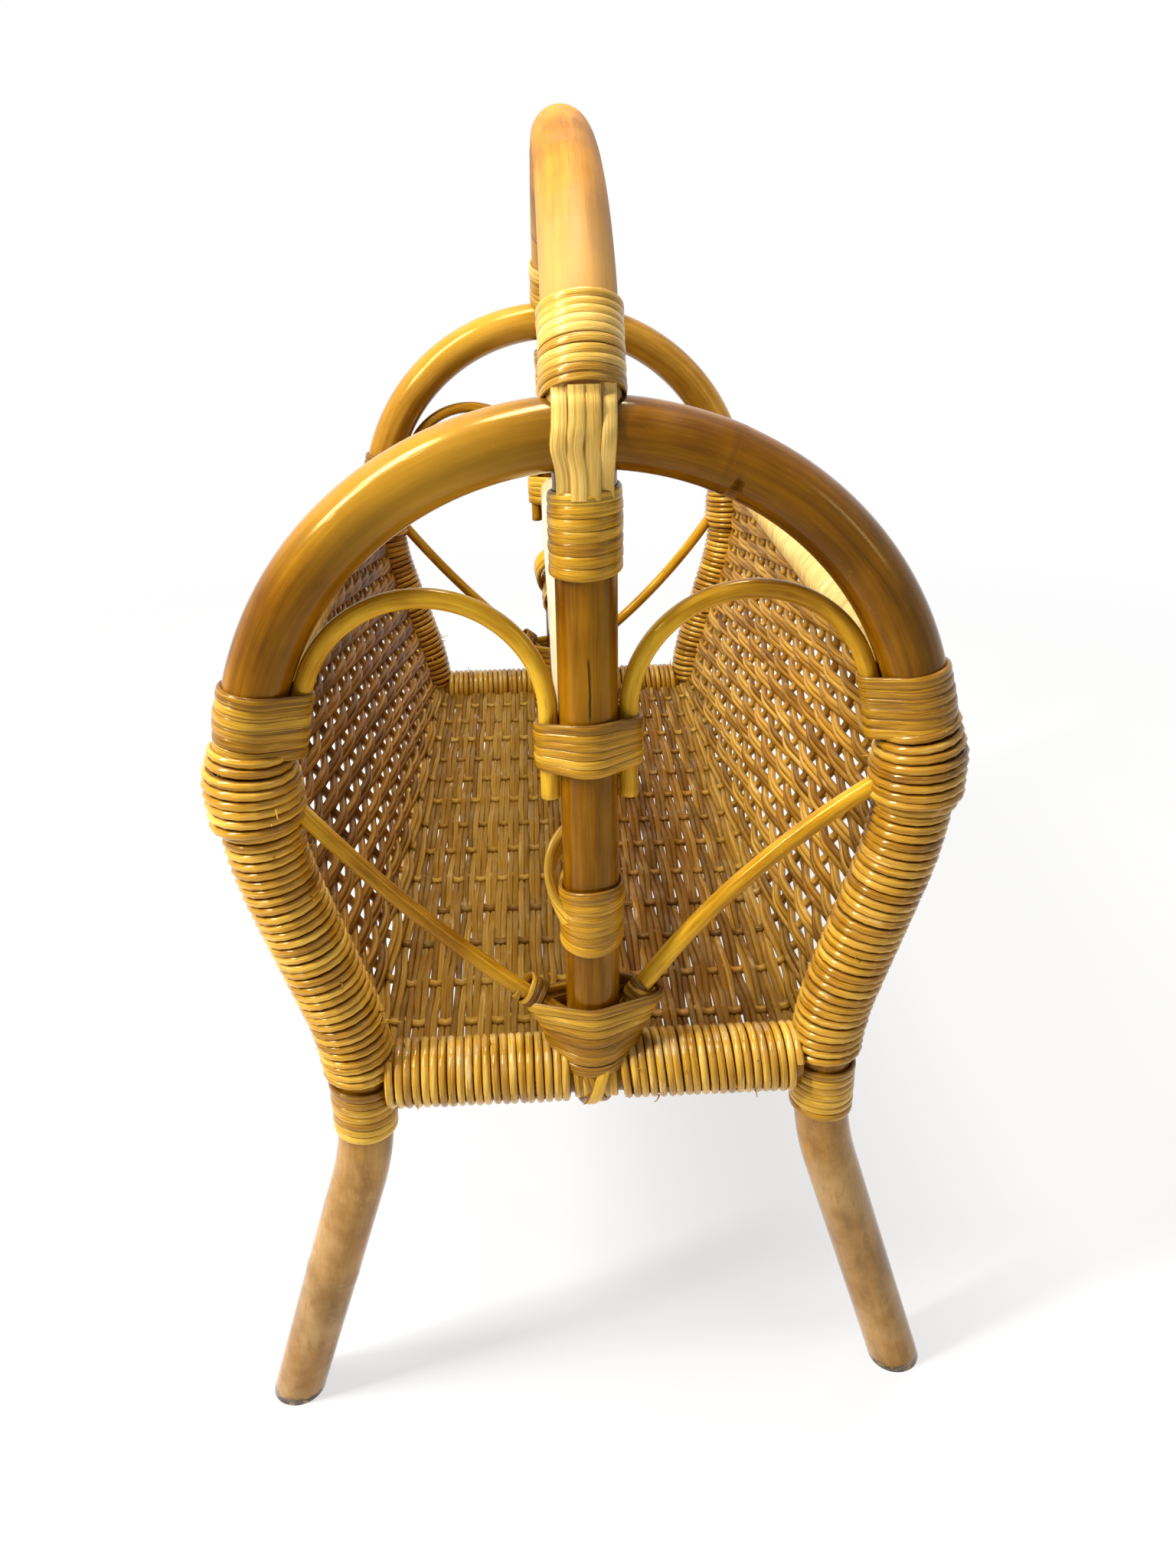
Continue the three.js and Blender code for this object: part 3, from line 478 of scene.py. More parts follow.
# waves: rate, phase and amount of five sines; the rest shapes a node ring, in mm and shares of the radius
unevenness = {
    "waves": ((0.004, 0.03), (0, 6.3), (0.002, 0.006)), "swell": 0.02, "swellWidth": 3.2, "notch": 0.012,
    "notchWidth": 1.0, "markWidth": 1.6, "stops": (-5, -2.5, -1.2, -0.5, 0, 0.5, 1.2, 2.5, 5),
}


def poleShape(points, radius, sideAxis, look, seed):
    # a round pole swept along its centreline, a little uneven, with its node rings
    dice = random.Random(seed)
    total = lengths(points)[-1]
    marks = [share * total for share in look.get("rings", ())]
    stops = set(np.linspace(0, total, max(4, int(total / look.get("step", 5.0)) + 1)).tolist())
    for mark in marks:
        stops |= {mark + d for d in unevenness["stops"] if 1 < mark + d < total - 1}
    stops = np.array(sorted(stops))

    def near(mark, width):
        return np.exp(-((stops - mark) / width) ** 2)

    centres = resampled(points, stops)
    ahead = tangentsOf(centres)
    side = unit(sideAxis - ahead * (ahead @ sideAxis)[:, None])
    out = np.cross(side, ahead)
    waves = [[dice.uniform(*limits) for limits in unevenness["waves"]] for _ in range(5)]
    swell = sum(amount * np.sin(stops * rate + phase) for rate, phase, amount in waves)
    ringed = np.zeros(len(stops))
    for mark in marks:
        swell = swell + unevenness["swell"] * near(mark, unevenness["swellWidth"])
        swell = swell - unevenness["notch"] * near(mark, unevenness["notchWidth"])
        ringed = np.maximum(ringed, near(mark, look.get("markWidth", unevenness["markWidth"])))
    sides = look.get("sides", 32)
    angles = np.arange(sides) * 2 * math.pi / sides
    twist = dice.uniform(0, 6.3) + stops[:, None] * 0.004
    reach = radius * (1 + swell[:, None] + look.get("oval", 0.012) * np.cos(2 * angles + twist))
    cosines, sines, level = np.broadcast_arrays(np.cos(angles), np.sin(angles), stops[:, None])
    rings = centres[:, None] + reach[..., None] * (
        out[:, None] * cosines[..., None] + side[:, None] * sines[..., None])
    around = np.stack([cosines * radius, sines * radius, level], axis=2)
    marked = np.stack(np.broadcast_arrays(ringed[:, None], np.zeros(reach.shape), dice.uniform(-0.3, 0.3)), axis=2)
    return rings, around, marked, ahead


def closeEnds(rings, around, marked, ahead, bevel):
    # each end: a small rounding ring, a flat cut ring and its middle point, marked as a cut
    def capped(layers, tips, middles):
        return np.concatenate([tips[0], *layers, tips[1], middles[0][None], middles[1][None]])

    insets, middles, cuts = [], [], []
    for end, sign in ((0, -1), (-1, 1)):
        over = ahead[end] * sign * bevel * 0.6
        middle = rings[end].mean(axis=0)
        inward = 1 - bevel / np.linalg.norm(rings[end][0] - middle)
        insets.append(middle + (rings[end] - middle) * inward + over)
        middles.append(middle + over)
        cuts.append(marked[end] * (1, 0, 1) + (0, 1, 0))
    arounds = (around[0], around[-1])
    vertices = capped(rings, insets, middles)
    run = capped(around, arounds, [ring.mean(axis=0) for ring in arounds])
    mark = capped(marked, cuts, [cut[0] for cut in cuts])
    count, sides = len(rings) + 2, len(rings[0])
    first, second, last = count * sides, count * sides + 1, (count - 1) * sides
    pairs = [(k, (k + 1) % sides) for k in range(sides)]
    faces = [(row + a, row + b, row + b + sides, row + a + sides) for row in range(0, last, sides) for a, b in pairs]
    for a, b in pairs:
        faces += [(first, b, a), (second, last + a, last + b)]
    return vertices, faces, run, mark


def pole(name, points, radius, sideAxis, finish, node, look):
    rings, around, marked, ahead = poleShape(np.asarray(points, float), radius, sideAxis, look, name)
    if look.get("flatFoot"):
        # the two feet are sawn level with the floor
        for end in (0, -1):
            rings[end] -= ahead[end] * (rings[end][:, 2] / ahead[end][2])[:, None]
    vertices, faces, run, mark = closeEnds(rings, around, marked, ahead, look.get("bevel", 0.5))
    if look.get("flatFoot"):
        vertices[:, 2] = np.maximum(vertices[:, 2], 0.0)
    mesh = bpy.data.meshes.new(name)
    mesh.from_pydata((vertices * mm).tolist(), [], faces)
    mesh.materials.append(finish)
    # each pole reads its own part of the grain
    writeAttributes(mesh, {"run": run * mm + (0, 0, len(name) * 0.37), "marks": mark})
    mesh.shade_smooth()
    mesh.update()
    settle(name, mesh, node)


# Geometry Nodes: strands of reed and flat cane
class StrandTree(Board):
    # a node group with named inputs, all of which grow gives; "take" gives an input's wire
    def __init__(self, name, inputs):
        super().__init__(bpy.data.node_groups.new(name, "GeometryNodeTree"))
        self.sockets = {}
        for kind, labels in inputs.items():
            for label in labels:
                made = self.tree.interface.new_socket(name=label, in_out="INPUT", socket_type="NodeSocket" + kind)
                self.sockets[label] = made.identifier
        self.tree.interface.new_socket(name="Geometry", in_out="OUTPUT", socket_type="NodeSocketGeometry")
        self.entry = self.place("NodeGroupInput")

    def take(self, label):
        return Wire(self, self.entry.outputs[label])

    def vector(self, operation, *values):
        return self.add("ShaderNodeVectorMath", dict(enumerate(values)), operation=operation)

    def scaled(self, vector, factor):
        return self.add("ShaderNodeVectorMath", {0: vector, "Scale": factor}, operation="SCALE")

    def keep(self, geometry, name, value):
        kind = "FLOAT_VECTOR" if value.socket.type == "VECTOR" else "FLOAT"
        return self.add("GeometryNodeStoreNamedAttribute", {"Geometry": geometry, "Name": name, "Value": value},
                        data_type=kind, domain="POINT")

    def recall(self, name, kind="FLOAT"):
        return self.add("GeometryNodeInputNamedAttribute", {"Name": name}, data_type=kind)

    def ripple(self, where, detail=1.0):
        # noise about zero, between -0.5 and 0.5
        return self.add("ShaderNodeTexNoise", {"W": where, "Scale": 1.0, "Detail": detail},
                        noise_dimensions="1D") - 0.5

    def curve(self, label):
        return self.add("GeometryNodeMeshToCurve", {"Mesh": self.take(label)})

    def resample(self, curve, count):
        return self.add("GeometryNodeResampleCurve", {"Curve": curve, "Count": count})

    def moved(self, geometry, offset):
        return self.add("GeometryNodeSetPosition", {"Geometry": geometry, "Offset": offset})

    def faced(self, curve):
        # measured along its length, and with its flat side turned to its "facing"
        curve = self.keep(curve, "along", self.add("GeometryNodeSplineParameter", None, 1))
        facing = self.recall("facing", "FLOAT_VECTOR")
        return self.add("GeometryNodeSetCurveNormal", {"Curve": curve, "Normal": facing}, mode="FREE")

    def sweep(self, strands, halfWide, halfThick, corners, squareness=1.0, scale=1.0):
        # each strand swept with an oval or flat section: x is outwards, y across
        ring = self.add("GeometryNodeCurvePrimitiveCircle", {"Resolution": corners, "Radius": 1.0})
        x, y = self.parts(self.add("GeometryNodeInputPosition"))[:2]
        full = self.maths("ABSOLUTE", y) ** squareness
        # edge is 0 in the middle of the section and 1 at its sides, where the finish paints seam shade
        ring = self.keep(ring, "edge", full)
        across = full * self.maths("SIGN", y) * halfWide
        section = self.add("ShaderNodeCombineXYZ", {0: x * halfThick, 1: across, 2: 0.0})
        profile = self.add("GeometryNodeSetPosition", {"Geometry": ring, "Position": section})
        profile = self.keep(profile, "side", self.add("GeometryNodeInputPosition"))
        return self.add("GeometryNodeCurveToMesh",
                        {"Curve": strands, "Profile Curve": profile, "Scale": scale, "Fill Caps": True})

    def close(self, geometry):
        geometry = self.add("GeometryNodeRealizeInstances", {"Geometry": geometry})
        geometry = self.add("GeometryNodeSetMaterial", {"Geometry": geometry, "Material": self.take("Finish")})
        self.place("NodeGroupOutput", {"Geometry": self.add("GeometryNodeSetShadeSmooth", {0: geometry})})

    def grow(self, name, source, values, node, slotName):
        # runs the tree on a source mesh and keeps the result as a plain mesh
        holder = placed(name + "Path", source)
        modifier = holder.modifiers.new("strands", "NODES")
        modifier.node_group = self.tree
        for label, value in values.items():
            modifier[self.sockets[label]] = value
        graph = bpy.context.evaluated_depsgraph_get()
        made = bpy.data.meshes.new_from_object(holder.evaluated_get(graph), depsgraph=graph)
        holder.modifiers.clear()
        bpy.data.objects.remove(holder)
        made.name = name
        settle(name, made, node)


def lineMesh(lines, attributes=None):
    # polylines in millimetres, each with the attributes of its points
    edges, first = [], 0
    for line in lines:
        edges.extend((first + k, first + k + 1) for k in range(len(line) - 1))
        first += len(line)
    mesh = bpy.data.meshes.new("lines")
    mesh.from_pydata((np.concatenate(lines) * mm).tolist(), edges, [])
    writeAttributes(mesh, {key: np.concatenate(values) for key, values in (attributes or {}).items()})
    return mesh


# how fast a winding wanders outwards and along, and changes its tone, in noise for each radian
windingNoise = {"out": 0.35, "along": 0.21, "alongReach": 2.6, "tone": 0.24, "toneRange": 1.5}


def reedWinding():
    # one reed wound round a pole: the path is the pole's centreline
    noise = windingNoise
    tree = StrandTree("reed winding", {
        "Geometry": ["Path"], "Int": ["Steps"], "Vector": ["Side Axis"], "Material": ["Finish"],
        "Float": ["Turns", "Winding Radius", "Reed Radius", "Flatness", "Raised Share", "Lift", "Wander", "Slant",
                  "Seed"]})
    turns, seed, wander = (tree.take(label) for label in ("Turns", "Seed", "Wander"))
    path = tree.resample(tree.curve("Path"), turns * tree.take("Steps") + 1)
    share = tree.add("GeometryNodeSplineParameter")
    angle = share * turns * (2 * math.pi) + seed
    ahead, side = tree.add("GeometryNodeInputTangent"), tree.take("Side Axis")
    out = tree.vector("NORMALIZE", tree.vector("CROSS_PRODUCT", side, ahead))
    raised = tree.within(tree.take("Raised Share") - share, -0.012, 0.012) * tree.within(share, 0.0, 0.1)
    radius = tree.take("Winding Radius") + tree.take("Lift") * raised
    radius = radius + tree.ripple(angle * noise["out"] + seed) * wander
    cosine = tree.maths("COSINE", angle)
    aside = tree.ripple(angle * noise["along"] + seed + 40.0) * wander * noise["alongReach"]
    aside = aside + cosine * tree.take("Slant")
    offset = tree.vector("ADD", tree.scaled(out, cosine * radius),
                         tree.scaled(side, tree.maths("SINE", angle) * radius))
    offset = tree.vector("ADD", offset, tree.scaled(ahead, aside))
    wound = tree.keep(path, "facing", tree.vector("NORMALIZE", offset))
    wound = tree.keep(wound, "tone", tree.ripple(angle * noise["tone"] + seed * 3.0, 3.0) * noise["toneRange"] + 0.5)
    wound = tree.moved(tree.keep(wound, "strand", seed * 0.13), offset)
    reed = tree.take("Reed Radius")
    tree.close(tree.sweep(tree.faced(wound), reed, reed * tree.take("Flatness"), 8))
    return tree


def laidStrand():
    # strands along given lines, whose points hold "facing" (which way the flat side looks), "tone" and "wide"
    tree = StrandTree("laid strand", {
        "Geometry": ["Lines"], "Float": ["Half Width", "Half Thickness", "Squareness"], "Int": ["Corners"],
        "Material": ["Finish"]})
    tree.close(tree.sweep(tree.faced(tree.curve("Lines")), tree.take("Half Width"), tree.take("Half Thickness"),
                          tree.take("Corners"), tree.take("Squareness"), tree.recall("wide")))
    return tree


windingTree = reedWinding()
strandTree = laidStrand()
print("strand trees made")


# End frames: bent hoop, post and bottom rail
hoopLooks = {
    "front": {"rings": (0.078, 0.5456), "markWidth": 2.6},
    "rear": {"rings": (0.06, 0.34, 0.72, 0.93)},
}


def makeFrames(sizes):
    fullPath = np.concatenate([halfPath[::-1] * (-1, 1), halfPath[1:]])
    for end, y in frameY.items():
        look = {**hoopLooks[end], "sides": 36, "step": 4.0, "flatFoot": True, "bevel": 0.8}
        pole(end + "HoopPole", onFrame(fullPath, y), hoopRadius, yAxis, hoopCane if end == "front" else rearCane,
             end + "_hoop", look)
        inArch = archTop - hoopRadius + 3
        pole(end + "PostPole", [(0, y, sizes["postFoot"]), (0, y, 330.0), (0, y, inArch)], postRadius, yAxis,
             postCane, end + "_post", {"rings": (0.9,)})
        pole(end + "BottomRailPole", [(x, y, railHeight) for x in (-sizes["railReach"], 0, sizes["railReach"])],
             railRadius, yAxis, poleCane, end + "_bottom_rail", {"rings": (0.3,)})


makeFrames(frameSizes)
print("end frames made")


# Handle, divider rails and rim rails
handleSizes = {"radius": 13.5, "rise": 100.0, "endRise": 4.0, "rings": (0.62, 0.86)}
handleRadius = handleSizes["radius"]


def handleCurve(sizes, count=90):
    first = math.asin(sizes["endRise"] / sizes["rise"])
    turn = np.linspace(first, math.pi - first, count)
    return alongBasket(0, archTop, -halfSpan * np.cos(turn)) + np.outer(np.sin(turn), (0, 0, sizes["rise"]))


handlePath = handleCurve(handleSizes)
pole("handlePole", handlePath, handleRadius, xAxis, handleCane, "handle",
     {"rings": handleSizes["rings"], "sides": 40, "step": 4.0})
rimSize = {"z": 376.0, "radius": 8.8, "reach": 218.2, "rings": ()}
railSizes = {
    "upperDivider": {"node": "upper_divider_rail", "x": -2.0, "z": 360.0, "radius": 10.5, "reach": 219.5,
                     "rings": (0.22, 0.7)},
    "lowerDivider": {"node": "lower_divider_rail", "x": 0.0, "z": 279.9, "radius": 10.5, "reach": 218.5,
                     "rings": (0.35, 0.8)},
    "leftRim": {**rimSize, "node": "left_rim_rail", "x": -127.3},
    "rightRim": {**rimSize, "node": "right_rim_rail", "x": 127.3},
}
for railName, size in railSizes.items():
    ys = np.array([-size["reach"], -70, 70, size["reach"]])
    pole(railName + "Pole", alongBasket(size["x"], size["z"], ys), size["radius"], xAxis,
         litWornCane if railName == "upperDivider" else poleCane, size["node"],
         {"rings": size["rings"], "sides": 28, "step": 8.0})
print("handle and rails made")


# Thin rods: the small arches and the slanting rods
rodSizes = {
    "radius": 3.75, "hug": 114.45, "leaves": 23.5, "legX": 15.55, "tail": 336.0, "bindingLow": 363.0,
    "slantTop": (119.0, 339.5), "slantFoot": (11.8, 227.9),
    "bows": {"frontleft": -5.0, "frontright": 9.0, "rearleft": -5.0, "rearright": -7.0},
}
rodRadius = rodSizes["radius"]


def smallArch(sizes):
    leaves = math.radians(sizes["leaves"])
    bend = (sizes["hug"] * math.cos(leaves) - sizes["legX"]) / (1 + math.cos(leaves))
    springing = frameSizes["archCentre"] + (sizes["hug"] - bend) * math.sin(leaves)
    rise = walk((sizes["legX"], sizes["tail"]), 90,
                [(springing - sizes["tail"], 0), arcMove(bend, 180 - sizes["leaves"])])
    low = math.degrees(math.asin((sizes["bindingLow"] - frameSizes["archCentre"]) / sizes["hug"]))
    turn = np.radians(np.linspace(sizes["leaves"], low, 8))
    along = np.column_stack([np.cos(turn), np.sin(turn)]) * sizes["hug"] + (0, frameSizes["archCentre"])
    return np.concatenate([rise, along[1:]])


def slantRod(sizes, bow, count=24):
    share = np.linspace(0, 1, count)[:, None]
    first, second = np.array(sizes["slantTop"]), np.array(sizes["slantFoot"])
    chord = second - first
    return first + chord * share + unit(np.array((chord[1], -chord[0]))) * bow * share * (1 - share) * 4


for corner, (word, nodeWord, y, sign) in corners.items():
    look = {"sides": 16, "step": 3.0, "bevel": 0.4, "oval": 0.03}
    pole(word + "SmallArchRod", onFrame(smallArch(rodSizes), y, sign), rodRadius, yAxis, rodCane,
         nodeWord + "small_arch", look)
    pole(word + "SlantRod", onFrame(slantRod(rodSizes, rodSizes["bows"][corner]), y, sign), rodRadius, yAxis,
         rodCane, nodeWord + "slant_rod", look)
print("rods made")


# Round reed wound on the frame sides and on the bottom rails, and fine pale cane on the rim rails. The first
# few turns of a frame side stand prouder ("raised" of its length, by "lift").
windingSizes = {
    "side": {"from": 205.35, "to": 363.65, "turns": 39.9, "steps": 18, "radius": 14.294, "reed": 1.95,
             "raised": 0.205, "lift": 3.3, "wander": 0.5, "slant": 0.9},
    "rail": {"from": 90.55, "to": 11.55, "turns": 20.5, "steps": 18, "radius": 13.794, "reed": 1.9695,
             "wander": 0.6, "slant": 0.7},
    "rim": {"reach": 217.2, "turns": 288.0, "steps": 10, "radius": 9.55, "reed": 0.8, "wander": 0.25, "slant": 0.3,
            "flatness": 0.8},
    "seeds": {"frontleft": 1.0, "frontright": 2.4, "rearleft": 3.9, "rearright": 5.1},
}


def wind(name, path, size, sign, seed, finish, node, sideAxis=(0.0, 1.0, 0.0), slotName="round_reed"):
    windingTree.grow(name, lineMesh([path]), {
        "Turns": size["turns"], "Steps": size["steps"], "Winding Radius": size["radius"] * mm,
        "Reed Radius": size["reed"] * mm, "Flatness": size.get("flatness", 1.0), "Side Axis": sideAxis,
        "Raised Share": size.get("raised", 0.0), "Lift": size.get("lift", 0.0) * mm,
        "Wander": size["wander"] * mm, "Slant": size["slant"] * sign * mm, "Seed": seed, "Finish": finish,
    }, node, slotName)


for corner, (word, nodeWord, y, sign) in corners.items():
    seed = windingSizes["seeds"][corner]
    size = windingSizes["side"]
    path = onFrame(stretchOf(halfPath, size["from"], size["to"]), y, sign)
    wind(word + "SideWinding", path, size, sign, seed, roundReed, nodeWord + "side_winding")
    size = windingSizes["rail"]
    path = [(x * sign, y, railHeight) for x in np.linspace(size["from"], size["to"], 12)]
    wind(word + "RailWinding", path, size, sign, seed + 9.0, railReed, nodeWord + "rail_winding")
print("reed windings made")

for hand, sign in hands.items():
    size, rail = windingSizes["rim"], railSizes[hand + "Rim"]
    path = alongBasket(rail["x"], rail["z"], np.linspace(-size["reach"], size["reach"], 30))
    wind(hand + "RimWrapCane", path, size, 1, 11.0 + sign, rimCane, hand + "_rim_wrap", (1.0, 0.0, 0.0), "fine_cane")
print("rim wraps made")


# Flat cane and stakes: strands laid along lines
def layStraps(name, node, straps, halfWidth, halfThick, finish=flatCane, squareness=0.6, corners=16, apart=0.83,
              slotName="flat_cane"):
    # each strap is (line, facing, tone, wide), and tone and wide are a number or one for each point
    def spread(values):
        return [np.broadcast_to(value, len(strap[0])) for value, strap in zip(values, straps)]

    lines, facing, tones, wides = zip(*straps)
    strands = spread([number * apart for number in range(len(straps))])
    source = lineMesh(lines, {"facing": facing, "tone": spread(tones), "wide": spread(wides), "strand": strands})
    strandTree.grow(name, source, {
        "Half Width": halfWidth * mm, "Half Thickness": halfThick * mm, "Squareness": squareness,
        "Corners": corners, "Finish": finish}, node, slotName)


# Woven trough: pairs of weavers run along the basket, over and under single stakes that run across
troughSizes = {
    "top": 363.5, "wallLean": 6.6, "cornerRadius": 20.0, "floor": 200.9, "halfLength": 217.8, "pairs": 85,
    "rows": 13, "rowPitch": 33.0, "strandGap": 2.95, "weaver": 1.7, "stake": 2.5, "swing": 2.4, "stakeSwing": 1.1,
    "wander": 0.6, "steps": 105,
}


def troughProfile(sizes):
    turned = 90 - sizes["wallLean"]
    low = sizes["floor"] + sizes["cornerRadius"] * (1 - math.cos(math.radians(turned)))
    wall = stretchOf(halfPath, low, sizes["top"])
    corner = walk(wall[-1], -90 - sizes["wallLean"], [arcMove(sizes["cornerRadius"], turned)], 2.0)
    right = np.concatenate([wall, corner[1:]])
    right[:, 1] += (sizes["floor"] - right[-1, 1]) * np.linspace(0, 1, len(right)) ** 4
    return np.concatenate([right, right[::-1] * (-1, 1)])[::-1]


# noise for each metre of a weaver, and the shares of "wander" and of the radius that it makes
weaveNoise = {"out": 30.0, "aside": 24.0, "asideReach": 1.6, "pair": 14.0, "pairReach": 1.9, "size": 9.0,
              "sizeReach": 0.26, "floorGain": 0.06, "wide": 1.07, "thick": 0.97}


def troughWeave():
    noise = weaveNoise
    tree = StrandTree("trough weavers", {
        "Geometry": ["Profile"], "Int": ["Pairs", "Steps", "Partner"], "Material": ["Finish"],
        "Float": ["Half Length", "Row Pitch", "Aside", "Swing", "Weaver Radius", "Wander", "Seed"]})
    _, y, height = tree.parts(tree.add("GeometryNodeInputPosition"))
    onFloor = tree.within(troughBend - height, 0.0, 0.025)
    rows = tree.resample(tree.curve("Profile"), tree.take("Pairs"))
    ahead = tree.add("GeometryNodeInputTangent")
    rows = tree.keep(rows, "sideways", ahead)
    rows = tree.keep(rows, "outwards", tree.vector("CROSS_PRODUCT", ahead, (0.0, 1.0, 0.0)))
    rows = tree.keep(rows, "row", tree.add("GeometryNodeInputIndex"))
    sideways, outwards = (tree.recall(name, "FLOAT_VECTOR") for name in ("sideways", "outwards"))
    rows = tree.moved(rows, tree.scaled(sideways, (onFloor * noise["floorGain"] + 1.0) * tree.take("Aside")))
    partner = tree.take("Partner")
    rows = tree.keep(rows, "tone", tree.add("FunctionNodeRandomValue", {"Seed": partner + 3}, 1, data_type="FLOAT"))
    rows = tree.keep(rows, "strand", tree.recall("row") * 7.3 + partner * 3.1)
    reach = tree.take("Half Length")
    first, last = (tree.add("ShaderNodeCombineXYZ", {1: tip}) for tip in (0.0 - reach, reach))
    line = tree.add("GeometryNodeCurvePrimitiveLine", {"Start": first, "End": last})
    line = tree.resample(line, tree.take("Steps"))
    weavers = tree.add("GeometryNodeInstanceOnPoints", {"Points": rows, "Instance": line})
    weavers = tree.add("GeometryNodeRealizeInstances", {"Geometry": weavers})
    row, strand, seed, wander = tree.recall("row"), tree.recall("strand"), tree.take("Seed"), tree.take("Wander")
    wave = tree.maths("COSINE", (y / tree.take("Row Pitch") + row) * math.pi)
    depth = wave * tree.take("Swing") + tree.ripple(strand + y * noise["out"] + seed) * wander
    aside = tree.ripple(strand * 1.7 + y * noise["aside"] + seed + 90.0) * wander * noise["asideReach"]
    pairAside = tree.ripple(row * 2.9 + y * noise["pair"] + seed + 30.0) * wander * noise["pairReach"]
    offset = tree.vector("ADD", tree.scaled(outwards, depth), tree.scaled(sideways, aside + pairAside))
    weavers = tree.keep(tree.moved(weavers, offset), "along", y)
    radius = tree.take("Weaver Radius")
    size = tree.ripple(strand * 5.0 + y * noise["size"]) * noise["sizeReach"] + 1.0 + onFloor * noise["floorGain"]
    tree.close(tree.sweep(weavers, radius * noise["wide"], radius * noise["thick"], 8, 1.0, size))
    return tree


def makeTrough(sizes):
    profile = troughProfile(sizes)
    tree = troughWeave()
    for partner, (name, node) in enumerate((("troughWeavers", "woven_trough"), ("troughPartnerWeavers", None))):
        tree.grow(name, lineMesh([onFrame(profile, 0)]), {
            "Pairs": sizes["pairs"], "Steps": sizes["steps"], "Half Length": sizes["halfLength"] * mm,
            "Row Pitch": sizes["rowPitch"] * mm, "Aside": sizes["strandGap"] * (partner - 0.5) * mm,
            "Partner": partner, "Swing": sizes["swing"] * mm, "Weaver Radius": sizes["weaver"] * mm,
            "Wander": sizes["wander"] * mm, "Seed": 4.0, "Finish": wovenReed}, node, "weave")
    dice = random.Random(21)
    lastPair, middleRow = sizes["pairs"] - 1, (sizes["rows"] - 1) / 2
    pair = np.linspace(0, lastPair, 4 * lastPair + 1)
    centre = resampled(profile, pair / lastPair * lengths(profile)[-1])
    ahead = tangentsOf(centre)
    out = np.column_stack([ahead[:, 1], -ahead[:, 0]])
    stakes = []
    for row in range(sizes["rows"]):
        swing = -sizes["stakeSwing"] * np.cos(math.pi * (pair + row - middleRow))
        lean = [dice.uniform(-1.2, 1.2) for _ in range(6)]
        line = onFrame(centre + out * swing[:, None], (row - middleRow) * sizes["rowPitch"])
        line[:, 1] += np.interp(pair, np.linspace(0, lastPair, len(lean)), lean)
        stakes.append((line, onFrame(out, 0), dice.random(), dice.uniform(0.92, 1.08)))
    layStraps("troughStakes", None, stakes, sizes["stake"], sizes["stake"], wovenReed, 1.0, 8, 0.71, "weave")


makeTrough(troughSizes)
print("trough woven")


# Flat cane bindings, each a strap wound round the outline of the poles and rods that it holds
def outlineOf(circles, grow, count):
    # the hull of some circles, as evenly spaced points and the way each one faces
    angles = np.radians(np.arange(0, 360, 5))
    cloud = sorted({(round(x + (r + grow) * math.cos(a), 4), round(y + (r + grow) * math.sin(a), 4))
                    for x, y, r in circles for a in angles})
    hull = convex_hull_2d(cloud)
    start = hull.index(0)
    loop = np.array([cloud[spot] for spot in (*hull[start:], *hull[:start], 0)])
    points = resampled(loop, np.linspace(0, lengths(loop)[-1], count + 1))[:-1]
    ahead = np.roll(points, -1, axis=0) - np.roll(points, 1, axis=0)
    return points, unit(np.column_stack([ahead[:, 1], -ahead[:, 0]]))


def steady(circles, grow, count=36):
    outline = outlineOf(circles, grow, count)
    return lambda share: outline


# lift off the outline (mm) and roll of each turn; how the ends tuck in (mm a step) and taper
strapShape = {"lift": (-0.2, 0.45), "roll": (-0.16, 0.16), "tuckSteps": 3, "tuck": 0.35, "tip": 0.35, "taperSteps": 5}


def strapLine(path, axisOne, axisTwo, circlesAt, look, seed):
    # one strap round the pole's path: it climbs by its own width at each turn
    dice = random.Random(seed)
    turns, count, start = look["turns"], look.get("count", 36), look.get("start", 0.25)
    path = np.asarray(path, float)
    total = lengths(path)[-1]
    # each turn has its own lift, tilt, tone and roll
    limits = (strapShape["lift"], (-look["tilt"], look["tilt"]), look.get("tones", (0.0, 1.0)), strapShape["roll"])
    drawn = np.array([[dice.uniform(*pair) for _ in range(int(turns) + 2)] for pair in limits])
    line, facing, tones = [], [], []
    for step in range(int(turns * count) + 1):
        turn = step / count
        share = (0.5 + (turns - 1) * turn / turns) / turns
        points, out = circlesAt(share)
        where = (turn + start) * len(points)
        low, part = int(where) % len(points), where % 1
        high = (low + 1) % len(points)
        flat, normal = (spots[low] * (1 - part) + spots[high] * part for spots in (points, out))
        whole, fraction = int(turn), turn % 1
        ease = fraction * fraction * (3 - 2 * fraction)
        lift, tilt, shade, roll = drawn[:, whole] * (1 - ease) + drawn[:, whole + 1] * ease
        lift -= max(strapShape["tuckSteps"] - min(turn, turns - turn) * count, 0) * strapShape["tuck"]
        here = share * total
        origin, after, before = resampled(path, [here, min(here + 1, total), max(here - 1, 0)])
        ahead = unit(after - before)
        first, last = look.get("bow", (0.0, 0.0))
        bow = (first + (last - first) * share) * (flat[0] / np.abs(points[:, 0]).max()) ** 2
        line.append(origin + axisOne * (flat[0] + normal[0] * lift) + axisTwo * (flat[1] + normal[1] * lift)
                    + ahead * (tilt * normal[1] + bow))
        facing.append(axisOne * normal[0] + axisTwo * normal[1] + ahead * roll)
        tones.append(shade)
    return np.array(line), np.array(facing), np.array(tones), total / turns


